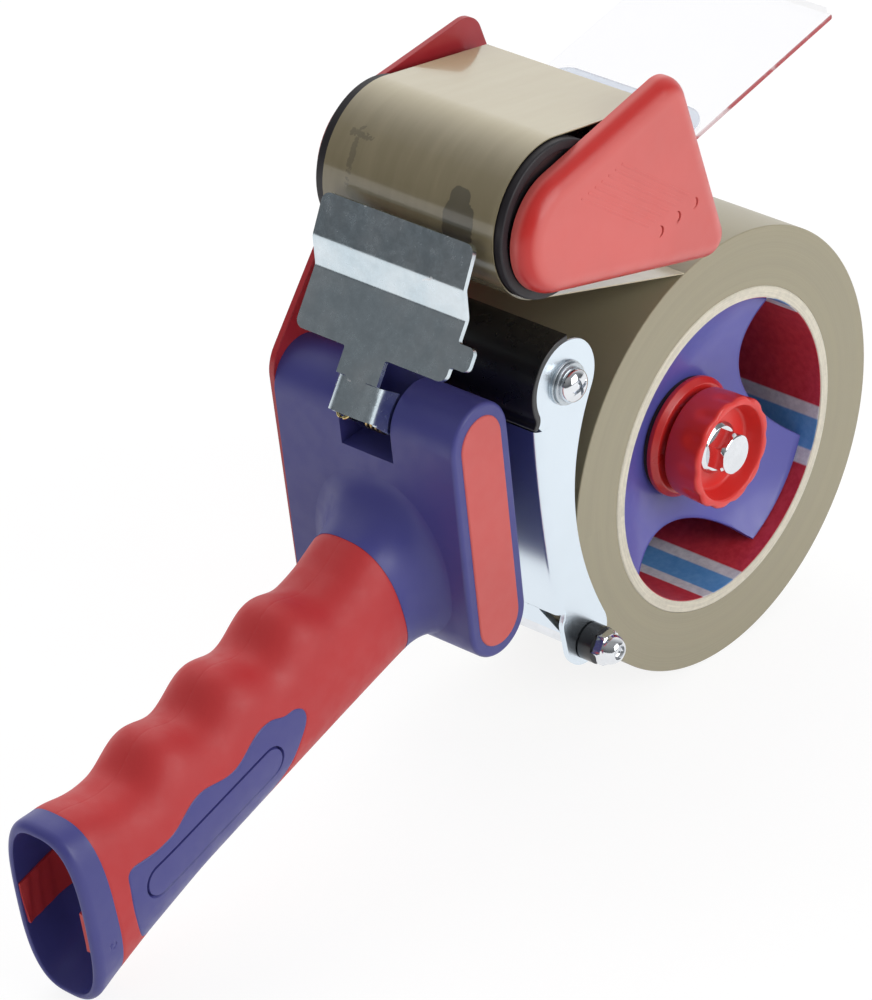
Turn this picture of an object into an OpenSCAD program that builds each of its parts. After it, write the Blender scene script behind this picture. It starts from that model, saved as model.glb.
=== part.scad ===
// Hand-held packing tape dispenser with a roll of tape, millimetres.
// All pieces are drawn about the roll's axis: X from the handle towards the roll, Y across the tape
// towards the side plate, Z up. The whole is then tipped until roll and handle stand on one plane.

/* [Tape] */
// Width of the tape
tape_w = 50; // [36:1:52]
// Outer diameter of the roll
roll_d = 112; // [104:1:114]
// Inner diameter of the cardboard core
core_bore = 76; // [74:0.5:78]
// Wall of the cardboard core
core_wall = 3; // [2:0.5:4]
// Thickness that stands for the tape's free run
strip_t = 0.25; // [0.2:0.05:0.3]
// Angle on the roll, from +X, where the tape peels off
peel_angle = 108; // [100:1:112]

/* [Side plate] */
// Thickness of the painted steel plate
plate_t = 1.5; // [1:0.1:2.5]
// Space between the tape's edge and the plate
plate_gap = 3; // [2.8:0.1:5]
// Radius of the plate round the roll's axle
plate_hub_r = 20; // [16:1:26]

/* [Front roller] */
// Roller axis ahead of the roll's axis
roller_x = -67.5; // [-70:0.5:-66]
// Roller axis above the roll's axis
roller_z = 86; // [84:0.5:88]
// Diameter of the roller
roller_d = 37.4; // [35:0.2:38]
// Wall of the roller tube
roller_wall = 2.5; // [2:0.1:4]
// How far the roller stands past the tape at each end
roller_over = 2; // [1.5:0.1:2.5]
// Diameter of the roller's axle
axle_d = 8; // [6:0.5:9]

/* [End cover] */
// Depth of the cover
cover_depth = 5.5; // [5:0.5:9]
// Rounding of the cover's flank
cover_round = 4.2; // [2:0.1:4.8]
// Depth of the recess round the roller's axle
cover_recess = 3.2; // [2:0.2:3.6]

/* [Cutter and flap] */
// Thickness of the bar that carries the blade
bar_t = 1.5; // [1:0.1:2]
// Height of the bar's web
bar_h = 17.5; // [15:0.5:18]
// Length of the bar's foot under the flap
foot_l = 17; // [15:0.5:20]
// Slope of the flap
flap_slope = 14.8; // [10:0.2:18]
// Length of the flap past the fold of the bar
flap_l = 77; // [60:1:80]
// Thickness of the clear flap
flap_t = 0.4; // [0.3:0.05:0.8]
// Thickness of the blade
blade_t = 0.8; // [0.5:0.1:1.2]
// Pitch of the blade's teeth
tooth_pitch = 2.5; // [1.5:0.1:4]
// Depth of the blade's teeth
tooth_h = 1.3; // [0.8:0.1:2]

/* [Handle block] */
// Block centre ahead of the roll's axis
block_x = -87; // [-89:0.5:-86]
// Block centre above the roll's axis
block_z = 14.75; // [12:0.25:17]
// Height of the block
block_h = 68; // [62:1:72]
// Thickness of the block
block_t = 18; // [16:0.5:19]
// Lean of the block
block_tilt = 8; // [6:0.5:10]
// How far the block stops short of the open side's edge of the tape, negative past it
block_near = -0.5; // [-1:0.25:1]
// Width of the lever's slot
slot_w = 13.5; // [12.5:0.5:18]
// Height of the coloured inlay in the block's near face
inlay_h = 62; // [50:1:62]
// Width of the coloured inlay
inlay_w = 12.6; // [9:0.2:13]

/* [Handle tube] */
// Length from the block's middle to the open end
handle_len = 128; // [120:1:136]
// Slope of the handle
handle_angle = 19.7; // [17:0.1:22]
// Height on the block where the handle's axis meets it, below the block's centre
handle_drop = 12.4; // [10:0.2:14]
// Height of the end rim
rim_h = 48.8; // [44:0.2:50]
// Width of the end rim
rim_w = 24.4; // [23:0.2:30]
// Length of the bare rim
rim_len = 8; // [6:0.5:10]
// Height of the grip
grip_h = 39.6; // [36:0.2:42]
// Width of the grip
grip_w = 25.6; // [24.4:0.2:30]
// Thickness of the soft grip
grip_t = 2; // [1.5:0.1:2.5]
// Wall of the hard tube
tube_wall = 2.2; // [1.6:0.1:2.6]
// Distance between finger grooves
finger_pitch = 22.3; // [20:0.1:23]
// Depth of the finger grooves
finger_depth = 4.2; // [3:0.1:4.4]
// How far the ridges between the fingers stand over the grip's back
finger_rise = 1; // [0.4:0.1:1.4]

/* [Brake lever] */
// Width of the lever's plate
lever_w = 44.4; // [40:0.4:46]
// Thickness of the lever's sheet
lever_t = 1.3; // [1:0.1:1.5]
// Width of the tab that enters the block
tab_w = 10.5; // [9:0.5:11]
// Diameter of the lever's pin
lever_pin_d = 4; // [3:0.5:5]

/* [Swing yoke] */
// Yoke pivot ahead of the roll's axis
rod_x = -54; // [-56:0.5:-53.5]
// Yoke pivot below the roll's axis
rod_z = -27.5; // [-30:0.5:-27]
// Diameter of the cross rod
rod_d = 6; // [5:0.5:6.5]
// Yoke head ahead of the roll's axis
head_x = -63.8; // [-65:0.2:-63]
// Yoke head above the roll's axis
head_z = 44.2; // [42:0.2:46]
// Radius of the yoke's head
head_r = 10.5; // [9.5:0.1:11]
// Thickness of the yoke's sheet
yoke_t = 1.5; // [1.2:0.1:1.6]
// Space between the tape's edge and the yoke's arm
yoke_gap = 1.2; // [1:0.1:1.2]
// Diameter of the damper roller
damper_d = 18.4; // [16:0.2:18.6]
// Thickness of the half shell over the damper roller
shell_t = 1.6; // [1.2:0.1:2]

/* [Hub and brake] */
// Depth of the hub's centre below the tape's edge
hub_sink = 13; // [11:0.5:15]
// Depth of the hub's arm ends below the tape's edge
arm_sink = 3.5; // [2:0.5:6]
// Outer diameter of the axle tube
axle_tube_d = 14; // [12:0.5:16]
// Diameter of the hub bolt
bolt_d = 8; // [6:0.5:8]
// Diameter of the knob's rim
knob_d = 28.4; // [24:0.4:30]
// Length of the knob
knob_l = 10.3; // [9.5:0.1:12]
// Diameter of the thrust flange
flange_d = 30.4; // [27:0.2:32]
// Number of scallops round the knob
knob_scallops = 12; // [8:1:16]

/* [Hidden] */
$fn = 64;

// Clearances
fit_run = 0.05;
gap = 0.3;
over = 1;

// Levels across the tape
edge = tape_w / 2;
plate_in = edge + plate_gap;
plate_out = plate_in + plate_t;
roller_end = edge + roller_over;
cover_back = -(roller_end + gap);
block_end = -(edge - block_near);
arm_in = edge + yoke_gap;
arm_out = arm_in + yoke_t;
bush_from = arm_out + gap;
bush_l = 3.7;
cap_from = bush_from + bush_l;
cap_l = 5.4;
roll_r = roll_d / 2;
core_r = core_bore / 2;

// Places in the side view, [x, z]
roller_c = [roller_x, roller_z];
rod_c = [rod_x, rod_z];
head_c = [head_x, head_z];
block_c = [block_x, block_z];
block_up = [-sin(block_tilt), cos(block_tilt)];
block_top = block_c + (block_h - block_t) / 2 * block_up;
block_foot = block_c - (block_h - block_t) / 2 * block_up;

// Handle: distance s runs from the open end towards the block
handle_dir = [cos(handle_angle), sin(handle_angle)];
handle_root = block_c - handle_drop * block_up;
handle_end = handle_root - handle_len * handle_dir;
end_tilt = 10.6;
grip_end = handle_len - 22;
cavity_end = grip_end - 8;
sides = 36;
mouth_wall = 1.8;
grip_seat = [for (k = [0:8]) rim_len + (grip_end - rim_len) * k / 8];
first_finger = rim_len + 8;
last_finger = first_finger + 4 * finger_pitch;

// Resting pose: the roll and the rim's lowest point stand on one plane
rim_up = [-sin(end_tilt), cos(end_tilt)];
rim_low = handle_end - rim_h / 2 * rim_up;
rim_top = handle_end + rim_h / 2 * rim_up;
rest_tilt = atan2(rim_low[1], rim_low[0]) + 180 - asin(roll_r / norm(rim_low));
front_x = rim_top[0] * cos(rest_tilt) + rim_top[1] * sin(rest_tilt);
roll_x = -(front_x + roll_r) / 2;

// Outline of the end cover, circles [x, z, r] that a tight belt goes round
behind = roller_x + roller_d / 2;
cover_belt = [
    [roller_x - 1.1, roller_z - 1.3, roller_d / 2 - 3.8],
    [behind + 32.7, roller_z - 22, 5.5],
    [behind + 15.2, roller_z + 15.5, 8]];

// Blade bar: fold between web and foot
fold = [behind + 12.3, roller_z - 6.5];
web_tilt = 13.2;
web_dir = [sin(web_tilt), cos(web_tilt)];
blade_rise = 4.5;
blade_drop = 9;
blade_face = (bar_t / 2 + blade_t) * [cos(web_tilt), -sin(web_tilt)];
blade_tip = fold + (bar_h + blade_rise) * web_dir + blade_face;
screw_y = edge - 8;
stiff_t = 0.5;
stiff_l = 27;
clamp_t = 1.2;
clamp_d0 = 5;
clamp_d1 = 14;
rivet_d = 9.5;

// Tape path round the roller
wrap_r = roller_d / 2 + gap;
peel_c = (roll_r + gap) * [cos(peel_angle), sin(peel_angle)];
strip_tip = blade_tip + [0.6, 0.1];
low_dir = heading(peel_c, roller_c) + asin(wrap_r / norm(roller_c - peel_c));
top_dir = heading(strip_tip, roller_c) - asin(wrap_r / norm(roller_c - strip_tip));
wrap_from = top_dir - 90;
wrap_to = low_dir + 90;

// Brake lever: bends of the sheet from its top edge down
lever_top = [roller_x - roller_d / 2 - 3.8, roller_z + 0.5];
lever_bends = [lever_top, lever_top + [-3.9, -9.6], lever_top + [-3, -17], lever_top + [-10.4, -30]];
lever_far = lever_w - 23.2;
lever_near = lever_far - lever_w;
lever_slope = (lever_bends[3] - lever_bends[2]) / norm(lever_bends[3] - lever_bends[2]);
tab_end = lever_bends[3] + 14 * lever_slope;
lever_pivot = block_top + [-4.5, -1.5];
cheek_t = lever_t;
ear_l = 5;
slot_y = 0.25;

// Yoke: waist of the arms between head and foot
waist_c = [head_x - 1, head_z - 34.2];
waist_r = 5.3;
foot_c = [rod_x - 0.5, rod_z + 1.5];
foot_r = 7.5;
shell_from = 90;
shell_to = 215;

// Hub and brake, levels along Y
hub_face = -(edge - hub_sink);
arm_face = -(edge - arm_sink);
disc_face = hub_face - 1;
flange_back = disc_face - gap;
flange_face = flange_back - 2.5;
knob_back = flange_face - 1.4;
knob_face = knob_back - knob_l;
cup_floor = knob_back - 5.4;
spring_seat = knob_back - 3.2;
bolt_r = bolt_d / 2;
bolt_end = cap_from + cap_l;
pad_r = flange_d / 2 - 0.6;

function heading(a, b) = let (t = atan2(b[1] - a[1], b[0] - a[0])) t < 0 ? t + 360 : t;
function polar(a) = [cos(a), sin(a)];
function power(v, e) = sign(v) * pow(abs(v), e);

// Outward normal of the straight run from circle p to circle q of a belt
function belt_normal(p, q) =
    let (d = norm([q[0] - p[0], q[1] - p[1]]), t = atan2(q[1] - p[1], q[0] - p[0]))
    polar(t - acos((p[2] - q[2]) / d));

// Points of an arc
function arc(c, r, from, to, n) = [for (k = [0:n]) c + r * polar(from + (to - from) * k / n)];

// Tight belt round circles that are listed anticlockwise, one arc to each circle
module belt(c) {
    n = len(c);
    polygon([for (i = [0:n - 1])
        let (p = c[i], a = belt_normal(c[(i + n - 1) % n], p), b = belt_normal(p, c[(i + 1) % n]),
            from = atan2(a[1], a[0]), turn = (atan2(b[1], b[0]) - from + 360) % 360)
        each arc([p[0], p[1]], p[2], from, from + turn, max(1, ceil(turn * $fn / 360)))]);
}

// Belt round two circles
module link(a, ra, b, rb) {
    belt([[a[0], a[1], ra], [b[0], b[1], rb]]);
}

// Bent sheet seen from its edge, mitred at its bends
function left_of(a, b) = let (d = (b - a) / norm(b - a)) [-d[1], d[0]];
function mitre(points, i) =
    let (n = len(points) - 1,
        a = left_of(points[max(i - 1, 0)], points[max(i, 1)]),
        b = left_of(points[min(i, n - 1)], points[min(i + 1, n)]))
    (a + b) / (1 + a * b);
module bent(points, t) {
    n = len(points) - 1;
    polygon(concat([for (i = [0:n]) points[i] + t / 2 * mitre(points, i)],
        [for (i = [n:-1:0]) points[i] - t / 2 * mitre(points, i)]));
}

// Extrudes a side view between two levels of Y
module across(y0, y1) {
    translate([0, y1, 0]) rotate([90, 0, 0]) linear_extrude(y1 - y0) children();
}

// Round bar along Y
module bar(c, y0, y1, r) {
    translate([c[0], y1, c[1]]) rotate([90, 0, 0]) cylinder(h = y1 - y0, r = r);
}

// Hexagon along Y
module hexagon(c, y0, y1, r) {
    translate([c[0], y1, c[1]]) rotate([90, 0, 0]) cylinder(h = y1 - y0, r = r, $fn = 6);
}

// Body turned about an axis along Y from a profile of [radius, y] points
module turned(c, profile) {
    translate([c[0], 0, c[1]]) rotate([-90, 0, 0]) rotate_extrude() polygon(profile);
}

// Ring along Y
module ring(c, y0, y1, r0, r1) {
    turned(c, [[r0, y0], [r1, y0], [r1, y1], [r0, y1]]);
}

// Places a piece at a height along the block, in the block's own lean
module at_block(h) {
    p = block_c + h * block_up;
    translate([p[0], 0, p[1]]) rotate([0, -block_tilt, 0]) children();
}

// Places a piece at the top of the bar's web, in the web's own lean
module at_web() {
    p = fold + bar_h * web_dir;
    translate([p[0], 0, p[1]]) rotate([0, web_tilt, 0]) children();
}

// Places a piece on the fold of the bar, along the slope of the flap
module at_fold() {
    translate([fold[0], 0, fold[1]]) rotate([0, -flap_slope, 0]) children();
}

// Sets the drawn pieces down on the plane they rest on
module stand() {
    translate([roll_x, 0, roll_r]) rotate([0, rest_tilt, 0]) children();
}

// Half height of the handle at a distance s from the open end
function half_h(s) = lookup(s, [[0, rim_h / 2], [rim_len, rim_h / 2 - 1.7], [20, grip_h / 2 + 0.9],
    [38, grip_h / 2], [grip_end, grip_h / 2 - 1.2]]);
function half_low(s) = half_h(s) - lookup(s, [[rim_len, 0], [40, 1], [grip_end, 1]]);
function half_w(s) = lookup(s, [[0, rim_w / 2], [rim_len, rim_w / 2], [30, grip_w / 2]]);
function squareness(s) = lookup(s, [[0, 0.69], [40, 0.8], [grip_end, 0.8], [handle_len, 0.6]]);
function lean(s) = lookup(s, [[0, end_tilt], [25, handle_angle], [grip_end, handle_angle],
    [handle_len, block_tilt]]);

// Finger grooves along the grip: the ridges' rise, the grooves' depth and the tube's dip below them
function ridge(s) = finger_rise * lookup(s, [[rim_len, 0], [first_finger + finger_pitch, 1],
    [last_finger - finger_pitch, 1], [grip_end, 0]]);
function groove(s) = s < first_finger || s > last_finger ? 0
    : finger_depth * (0.5 - 0.5 * cos(360 * (s - first_finger) / finger_pitch));
function dip(s) = (finger_depth - finger_rise) * lookup(s, [[rim_len, 0], [grip_seat[1], 1]]);

// Growth of the neck from the tube to the block's front face, a quarter round
neck_l = handle_len - block_t / 2 - grip_end;
function flare(s) = let (u = min(1, max(0, (s - grip_end) / neck_l))) 1 - sqrt(1 - u * u);

// One closed section of the handle with its own half heights and half width
function section(s, up, down, wide) =
    let (c = handle_end + s * handle_dir, n = polar(90 + lean(s)), e = squareness(s))
    [for (i = [0:sides - 1])
        let (a = 360 * i / sides,
            v = power(sin(a), e) * (sin(a) > 0 ? up : down),
            y = power(cos(a), e) * wide)
        [c[0] + v * n[0], y, c[1] + v * n[1]]];
function plain(s, inset) = section(s, half_h(s) - inset, half_low(s) - inset, half_w(s) - inset);
function dipped(s, inset) = section(s, half_h(s) - inset - dip(s), half_low(s) - inset, half_w(s) - inset);
function gripped(s) = section(s, half_h(s) + ridge(s) - groove(s), half_low(s), half_w(s));
function necked(s) = section(s, half_h(s) + 12 * flare(s), half_low(s) - 0.4 * flare(s),
    half_w(s) + 11 * flare(s));

// Skin over a row of sections, closed by its ends or onto itself; from the row named turn on, its facets
// are split the other way, so that rows laid backwards meet rows laid forwards facet on facet
module skin(rows, closed = false, turn = undef) {
    n = len(rows[0]);
    m = len(rows);
    last = is_undef(turn) ? m : turn;
    walls = [for (j = [0:(closed ? m - 1 : m - 2)], i = [0:n - 1])
        let (k = (i + 1) % n, a = j * n, b = ((j + 1) % m) * n)
        each j < last ? [[a + i, b + i, b + k], [a + i, b + k, a + k]]
            : [[a + i, b + i, a + k], [b + i, b + k, a + k]]];
    ends = closed ? [] : [[for (i = [0:n - 1]) i], [for (i = [n - 1:-1:0]) (m - 1) * n + i]];
    polyhedron(points = [for (r = rows) each r], faces = concat(walls, ends));
}

// Helical wire along Y round an axis, its ends straight for one wire diameter
coil_rings = 8;
coil_sides = 6;
function coil_path(r, y0, pitch, turns, wire) =
    let (n = round(turns * coil_rings), last = 360 * turns)
    concat([[r, y0, -wire]],
        [for (k = [0:n]) let (a = last * k / n) [r * cos(a), y0 + pitch * turns * k / n, r * sin(a)]],
        [[r * cos(last) - wire * sin(last), y0 + pitch * turns, r * sin(last) + wire * cos(last)]]);
function unit(v) = v / norm(v);
function wire_ring(path, k, wire) =
    let (n = len(path), d = unit(path[min(k + 1, n - 1)] - path[max(k - 1, 0)]),
        u = unit(cross(d, [0, 1, 0])), v = cross(u, d))
    [for (i = [0:coil_sides - 1]) path[k] + wire / 2 * (cos(60 * i) * u + sin(60 * i) * v)];
function least_gap(path, wire) = min([for (i = [0:len(path) - 1])
    for (j = [i + coil_rings / 2:1:len(path) - 1]) norm(path[i] - path[j])]) - wire;
module coil(c, path, wire) {
    translate([c[0], 0, c[1]]) skin([for (k = [0:len(path) - 1]) wire_ring(path, k, wire)]);
}

// Outline of the side plate: round the roller, the cover, the block, the cross rod and the hub
module plate_outline() {
    belt([[roller_x, roller_z, roller_d / 2 - 2.5], cover_belt[1],
        [cover_belt[2][0] - 0.5, cover_belt[2][1], cover_belt[2][2] - 1.5]]);
    belt([[roller_x, roller_z, 4.2], [block_top[0] - 0.2, block_top[1] + 3, block_t / 2 + 1],
        [block_foot[0], block_foot[1], block_t / 2], [rod_x, rod_z, 9], [0, 0, plate_hub_r],
        [cover_belt[1][0] - 2, cover_belt[1][1] + 2, cover_belt[1][2] - 2]]);
}

screw_r = 2;
screw_rows = [-20, 14];

// Painted steel plate that carries everything
module side_plate() {
    color([0.63, 0.12, 0.15]) difference() {
        across(plate_in, plate_out) plate_outline();
        bar([0, 0], plate_in - over, plate_out + over, bolt_r + gap);
        bar(roller_c, plate_in - over, plate_out + over, axle_d / 2);
        bar(rod_c, plate_in - over, plate_out + over, rod_d / 2);
        for (h = screw_rows)
            bar(block_c + h * block_up, plate_in - over, plate_out + over, screw_r);
    }
}

// Pan-head screws that hold the block to the plate
screw_l = 14;
module handle_screws() {
    color([0.75, 0.76, 0.78]) for (h = screw_rows) {
        c = block_c + h * block_up;
        bar(c, plate_in - screw_l, plate_out, screw_r);
        turned(c, [[0, plate_out], [4, plate_out], [4, plate_out + 1.2], [3, plate_out + 2.2],
            [0, plate_out + 2.2]]);
    }
}

inlay_d = 1;
module inlay_outline(w, h) {
    link(block_c - (h - w) / 2 * block_up, w / 2, block_c + (h - w) / 2 * block_up, w / 2);
}

// Hard moulding: block, neck and hollow tube
module handle_core() {
    inner = [for (s = [cavity_end, 70, 45, 20, rim_len + 2, 0.6])
        dipped(s, lookup(s, [[0, mouth_wall], [rim_len + 2, mouth_wall + 1], [20, grip_t + tube_wall]]))];
    lip = [plain(0, 0.9), plain(0.7, 0)];
    rim = [plain(rim_len / 2, 0), plain(rim_len, 0)];
    seat = [for (s = grip_seat) dipped(s, grip_t)];
    neck = [for (k = [0:6]) necked(grip_end + neck_l * sin(15 * k))];
    color([0.27, 0.26, 0.52]) difference() {
        union() {
            across(block_end, plate_in) link(block_foot, block_t / 2, block_top, block_t / 2);
            skin(concat(inner, lip, rim, seat, neck, [necked(handle_len)]));
        }
        across(block_end - over, block_end + inlay_d) inlay_outline(inlay_w, inlay_h);
        at_block(block_h / 2)
            translate([-block_t / 2 - over, slot_y - slot_w / 2, -16]) cube([14, slot_w, 16 + over]);
        bar(lever_pivot, slot_y - slot_w, slot_y + slot_w, lever_pin_d / 2);
        for (h = screw_rows)
            bar(block_c + h * block_up, plate_in - screw_l, plate_in + over, screw_r);
    }
}

// Soft sleeve with its finger grooves
module grip_sleeve() {
    steps = 36;
    outside = [for (k = [0:steps]) gripped(rim_len + (grip_end - rim_len) * k / steps)];
    inside = [for (k = [len(grip_seat) - 1:-1:0]) dipped(grip_seat[k], grip_t)];
    skin(concat(outside, inside), closed = true, turn = steps + 1);
}

// Outline of the side panels, drawn along the handle: s from the end, v across it
panel_waves = 3;
panel_from = rim_len + 5;
panel_to = panel_from + 60;
function on_handle(s, v) = handle_end + s * handle_dir + v * polar(90 + handle_angle);
module panel_outline() {
    wave_from = panel_from + 2.5;
    wave_l = panel_to - 6 - wave_from;
    polygon(concat(
        [for (p = [[0, 0.5], [0.25, 2.2], [1.1, 3.6]]) on_handle(panel_from + p[0], p[1])],
        [for (k = [0:18]) let (u = k / 18, wave = sin(360 * panel_waves * u + 80) * sin(180 * u))
            on_handle(wave_from + wave_l * u, 4.2 + 2.2 * u - 1.6 * wave)],
        [on_handle(panel_to - 1.5, 4.5), on_handle(panel_to, 0), on_handle(panel_to - 4, -9),
            on_handle(panel_to - 16, -14), on_handle(panel_to - 22, -30), on_handle(panel_from, -30)]));
}
module panel_blocks() {
    reach = rim_w;
    for (y = [-reach, 0])
        across(y, y + reach) panel_outline();
}

module handle_grip() {
    color([0.72, 0.25, 0.25]) difference() {
        grip_sleeve();
        panel_blocks();
    }
}

// Hard panels let into the grip on both sides, each with a long round-ended groove
panel_groove_d = 0.7;
module grip_panels() {
    a = on_handle(panel_from + 7, -4);
    b = on_handle(panel_from + 48, -2.6);
    color([0.31, 0.3, 0.57]) difference() {
        intersection() {
            grip_sleeve();
            panel_blocks();
        }
        for (y = [-grip_w, grip_w / 2 - panel_groove_d])
            across(y, y + grip_w / 2 + panel_groove_d) difference() {
                link(a, 3.4, b, 3.4);
                link(a, 2.6, b, 2.6);
            }
    }
}

// Coloured strip in the block's near face
module block_inlay() {
    color([0.8, 0.38, 0.37])
        across(block_end - 0.2, block_end + inlay_d) inlay_outline(inlay_w, inlay_h);
}

axle_nut_h = 5;
boss_d = 4;

// Fixed axle of the front roller, held in the plate and in the cover
module front_axle() {
    color([0.7, 0.71, 0.73])
        bar(roller_c, cover_back - cover_recess, plate_out + axle_nut_h + 0.5, axle_d / 2);
}

module axle_nut() {
    color([0.75, 0.76, 0.78]) difference() {
        hexagon(roller_c, plate_out, plate_out + axle_nut_h, axle_d / 2 + 3.5);
        bar(roller_c, plate_out - over, plate_out + axle_nut_h + over, axle_d / 2);
    }
}

// Moulded cap at the open end of roller and blade, with its rounded flank
module end_cover() {
    steps = 6;
    flank = 1.2;
    color([0.82, 0.3, 0.28]) difference() {
        hull() {
            across(cover_back - 0.01, cover_back) belt(cover_belt);
            for (k = [0:steps]) {
                a = 90 * k / steps;
                y = cover_back - flank - (cover_depth - flank) * sin(a);
                inset = cover_round * (1 - cos(a));
                across(y, y + 0.01) belt([for (c = cover_belt) [c[0], c[1], c[2] - inset]], $fn = 32);
            }
        }
        difference() {
            bar(roller_c, cover_back - cover_recess, cover_back + over, axle_d / 2 + 8);
            bar(roller_c, cover_back - cover_recess - over, cover_back, axle_d / 2 + 3);
        }
        bar(roller_c, cover_back - cover_recess, cover_back + over, axle_d / 2);
    }
}

// Bent bar between plate and cover: a web for the blade and a foot for the flap
module blade_bar() {
    color([0.6, 0.61, 0.63]) difference() {
        across(cover_back, plate_in)
            bent([fold + bar_h * web_dir, fold, fold + foot_l * polar(flap_slope)], bar_t);
        for (y = [-screw_y, screw_y])
            at_web() translate([-3, y, -5]) rotate([0, 90, 0]) cylinder(h = 6, r = 1.5);
        for (y = [-screw_y, 0, screw_y])
            at_fold() translate([rivet_d, y, -3]) cylinder(h = 6, r = 1.5);
    }
}

// Serrated blade on the web
module cutter_blade() {
    half = edge + 0.5;
    teeth = floor(2 * half / tooth_pitch);
    row = -teeth * tooth_pitch / 2;
    low = blade_rise - tooth_h;
    color([0.8, 0.81, 0.83]) difference() {
        at_web() translate([bar_t / 2, 0, 0]) rotate([90, 0, 90]) linear_extrude(blade_t)
            polygon(concat([[-half, -blade_drop], [half, -blade_drop], [half, low]],
                [for (k = [teeth - 1:-1:0], e = [1, 0])
                    [row + tooth_pitch * (k + e / 2), low + tooth_h * e]],
                [[-half, low]]));
        for (y = [-screw_y, screw_y])
            at_web() translate([-3, y, -5]) rotate([0, 90, 0]) cylinder(h = 6, r = 1.5);
    }
}

module blade_screws() {
    face = bar_t / 2 + blade_t;
    color([0.75, 0.76, 0.78]) for (y = [-screw_y, screw_y])
        at_web() translate([0, y, -5]) rotate([0, 90, 0]) rotate_extrude()
            polygon([[0, -bar_t / 2 - 1], [1.5, -bar_t / 2 - 1], [1.5, face], [2.8, face],
                [2.8, face + 0.8], [2, face + 1.6], [0, face + 1.6]]);
}

// One flat sheet on the foot, from d0 to d1 along the slope, between two heights over the foot's middle
module sheet(d0, d1, h0, h1, w, corner) {
    at_fold() translate([0, 0, h0]) linear_extrude(h1 - h0) difference() {
        union() {
            translate([d0, -w / 2]) square([d1 - d0 - corner, w]);
            translate([d0, -w / 2 + corner]) square([d1 - d0, w - 2 * corner]);
            for (y = [-w / 2 + corner, w / 2 - corner])
                translate([d1 - corner, y]) circle(corner);
        }
        for (y = [-screw_y, 0, screw_y])
            translate([rivet_d, y]) circle(1.5);
    }
}

flap_h = bar_t / 2;
stiff_h = flap_h + flap_t;
clamp_h = stiff_h + stiff_t;
hook_t = 0.4;
hook_h = 1.6;

// Clear springy flap with a small hooked tip
module wiper_flap() {
    color([0.93, 0.95, 0.97, 0.5]) {
        sheet(clamp_d0, flap_l, flap_h, stiff_h, tape_w, 1.5);
        at_fold() translate([flap_l - hook_t, -edge + 2, flap_h])
            cube([hook_t, tape_w - 4, flap_t + hook_h]);
    }
}

module flap_stiffener() {
    color([0.8, 0.85, 0.93, 0.6]) sheet(clamp_d0, stiff_l, stiff_h, clamp_h, tape_w + 2, 5);
}

module flap_clamp() {
    color([0.7, 0.71, 0.73]) sheet(clamp_d0, clamp_d1, clamp_h, clamp_h + clamp_t, tape_w, 0.5);
}

module flap_rivets() {
    top = clamp_h + clamp_t;
    color([0.75, 0.76, 0.78]) for (y = [-screw_y, 0, screw_y])
        at_fold() translate([rivet_d, y, 0]) rotate_extrude()
            polygon([[0, -bar_t / 2 - 0.8], [2.6, -bar_t / 2 - 0.8], [2.6, -bar_t / 2], [1.5, -bar_t / 2],
                [1.5, top], [2.8, top], [2.4, top + 0.9], [0, top + 0.9]]);
}

rod_nut_h = 5;
cap_r = 3.7;
cap_roof = 1.9;

// Rod through the plate on which the yoke swings
module cross_rod() {
    color([0.75, 0.76, 0.78])
        bar(rod_c, cap_roof - cap_from - cap_l, plate_out + rod_nut_h + 1, rod_d / 2);
}

module rod_nut() {
    color([0.75, 0.76, 0.78]) difference() {
        hexagon(rod_c, plate_out, plate_out + rod_nut_h, rod_d / 2 + 3);
        bar(rod_c, plate_out - over, plate_out + rod_nut_h + over, rod_d / 2);
    }
}

module rod_bush() {
    color([0.1, 0.1, 0.11]) ring(rod_c, -cap_from, -bush_from, rod_d / 2, rod_d / 2 + 1.6);
}

// Domed nut on the rod's near end
module cap_nut() {
    color([0.85, 0.86, 0.88]) difference() {
        union() {
            hexagon(rod_c, -cap_from - 2.6, -cap_from, cap_r + 0.7);
            bar(rod_c, -cap_from - cap_l + cap_r, -cap_from, cap_r);
            intersection() {
                translate([rod_c[0], -cap_from - cap_l + cap_r, rod_c[1]]) sphere(cap_r);
                bar(rod_c, -cap_from - cap_l - over, -cap_from - over, cap_r + over);
            }
        }
        bar(rod_c, cap_roof - cap_from - cap_l, -cap_from + over, rod_d / 2);
    }
}

// Pin of the lever across the block's slot
module lever_pin() {
    color([0.75, 0.76, 0.78])
        bar(lever_pivot, slot_y - slot_w, slot_y + slot_w, lever_pin_d / 2);
}

// Return spring round the lever's pin
lever_wire = 0.8;
lever_pitch = 1.4;
lever_turns = 4;
lever_coil = coil_path(lever_pin_d / 2 + gap + lever_wire, slot_y - lever_pitch * lever_turns / 2,
    lever_pitch, lever_turns, lever_wire);
module lever_spring() {
    color([0.8, 0.7, 0.4]) coil(lever_pivot, lever_coil, lever_wire);
}

// Tube on the plate round which the hub turns
module axle_tube() {
    color([0.7, 0.71, 0.73]) ring([0, 0], hub_face + gap, plate_in, bolt_r + fit_run, axle_tube_d / 2);
}

module hub_nut() {
    color([0.75, 0.76, 0.78]) difference() {
        hexagon([0, 0], plate_out, plate_out + 6.5, bolt_r + 3.5);
        bar([0, 0], plate_out - over, plate_out + 7, bolt_r + fit_run);
    }
}

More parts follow.
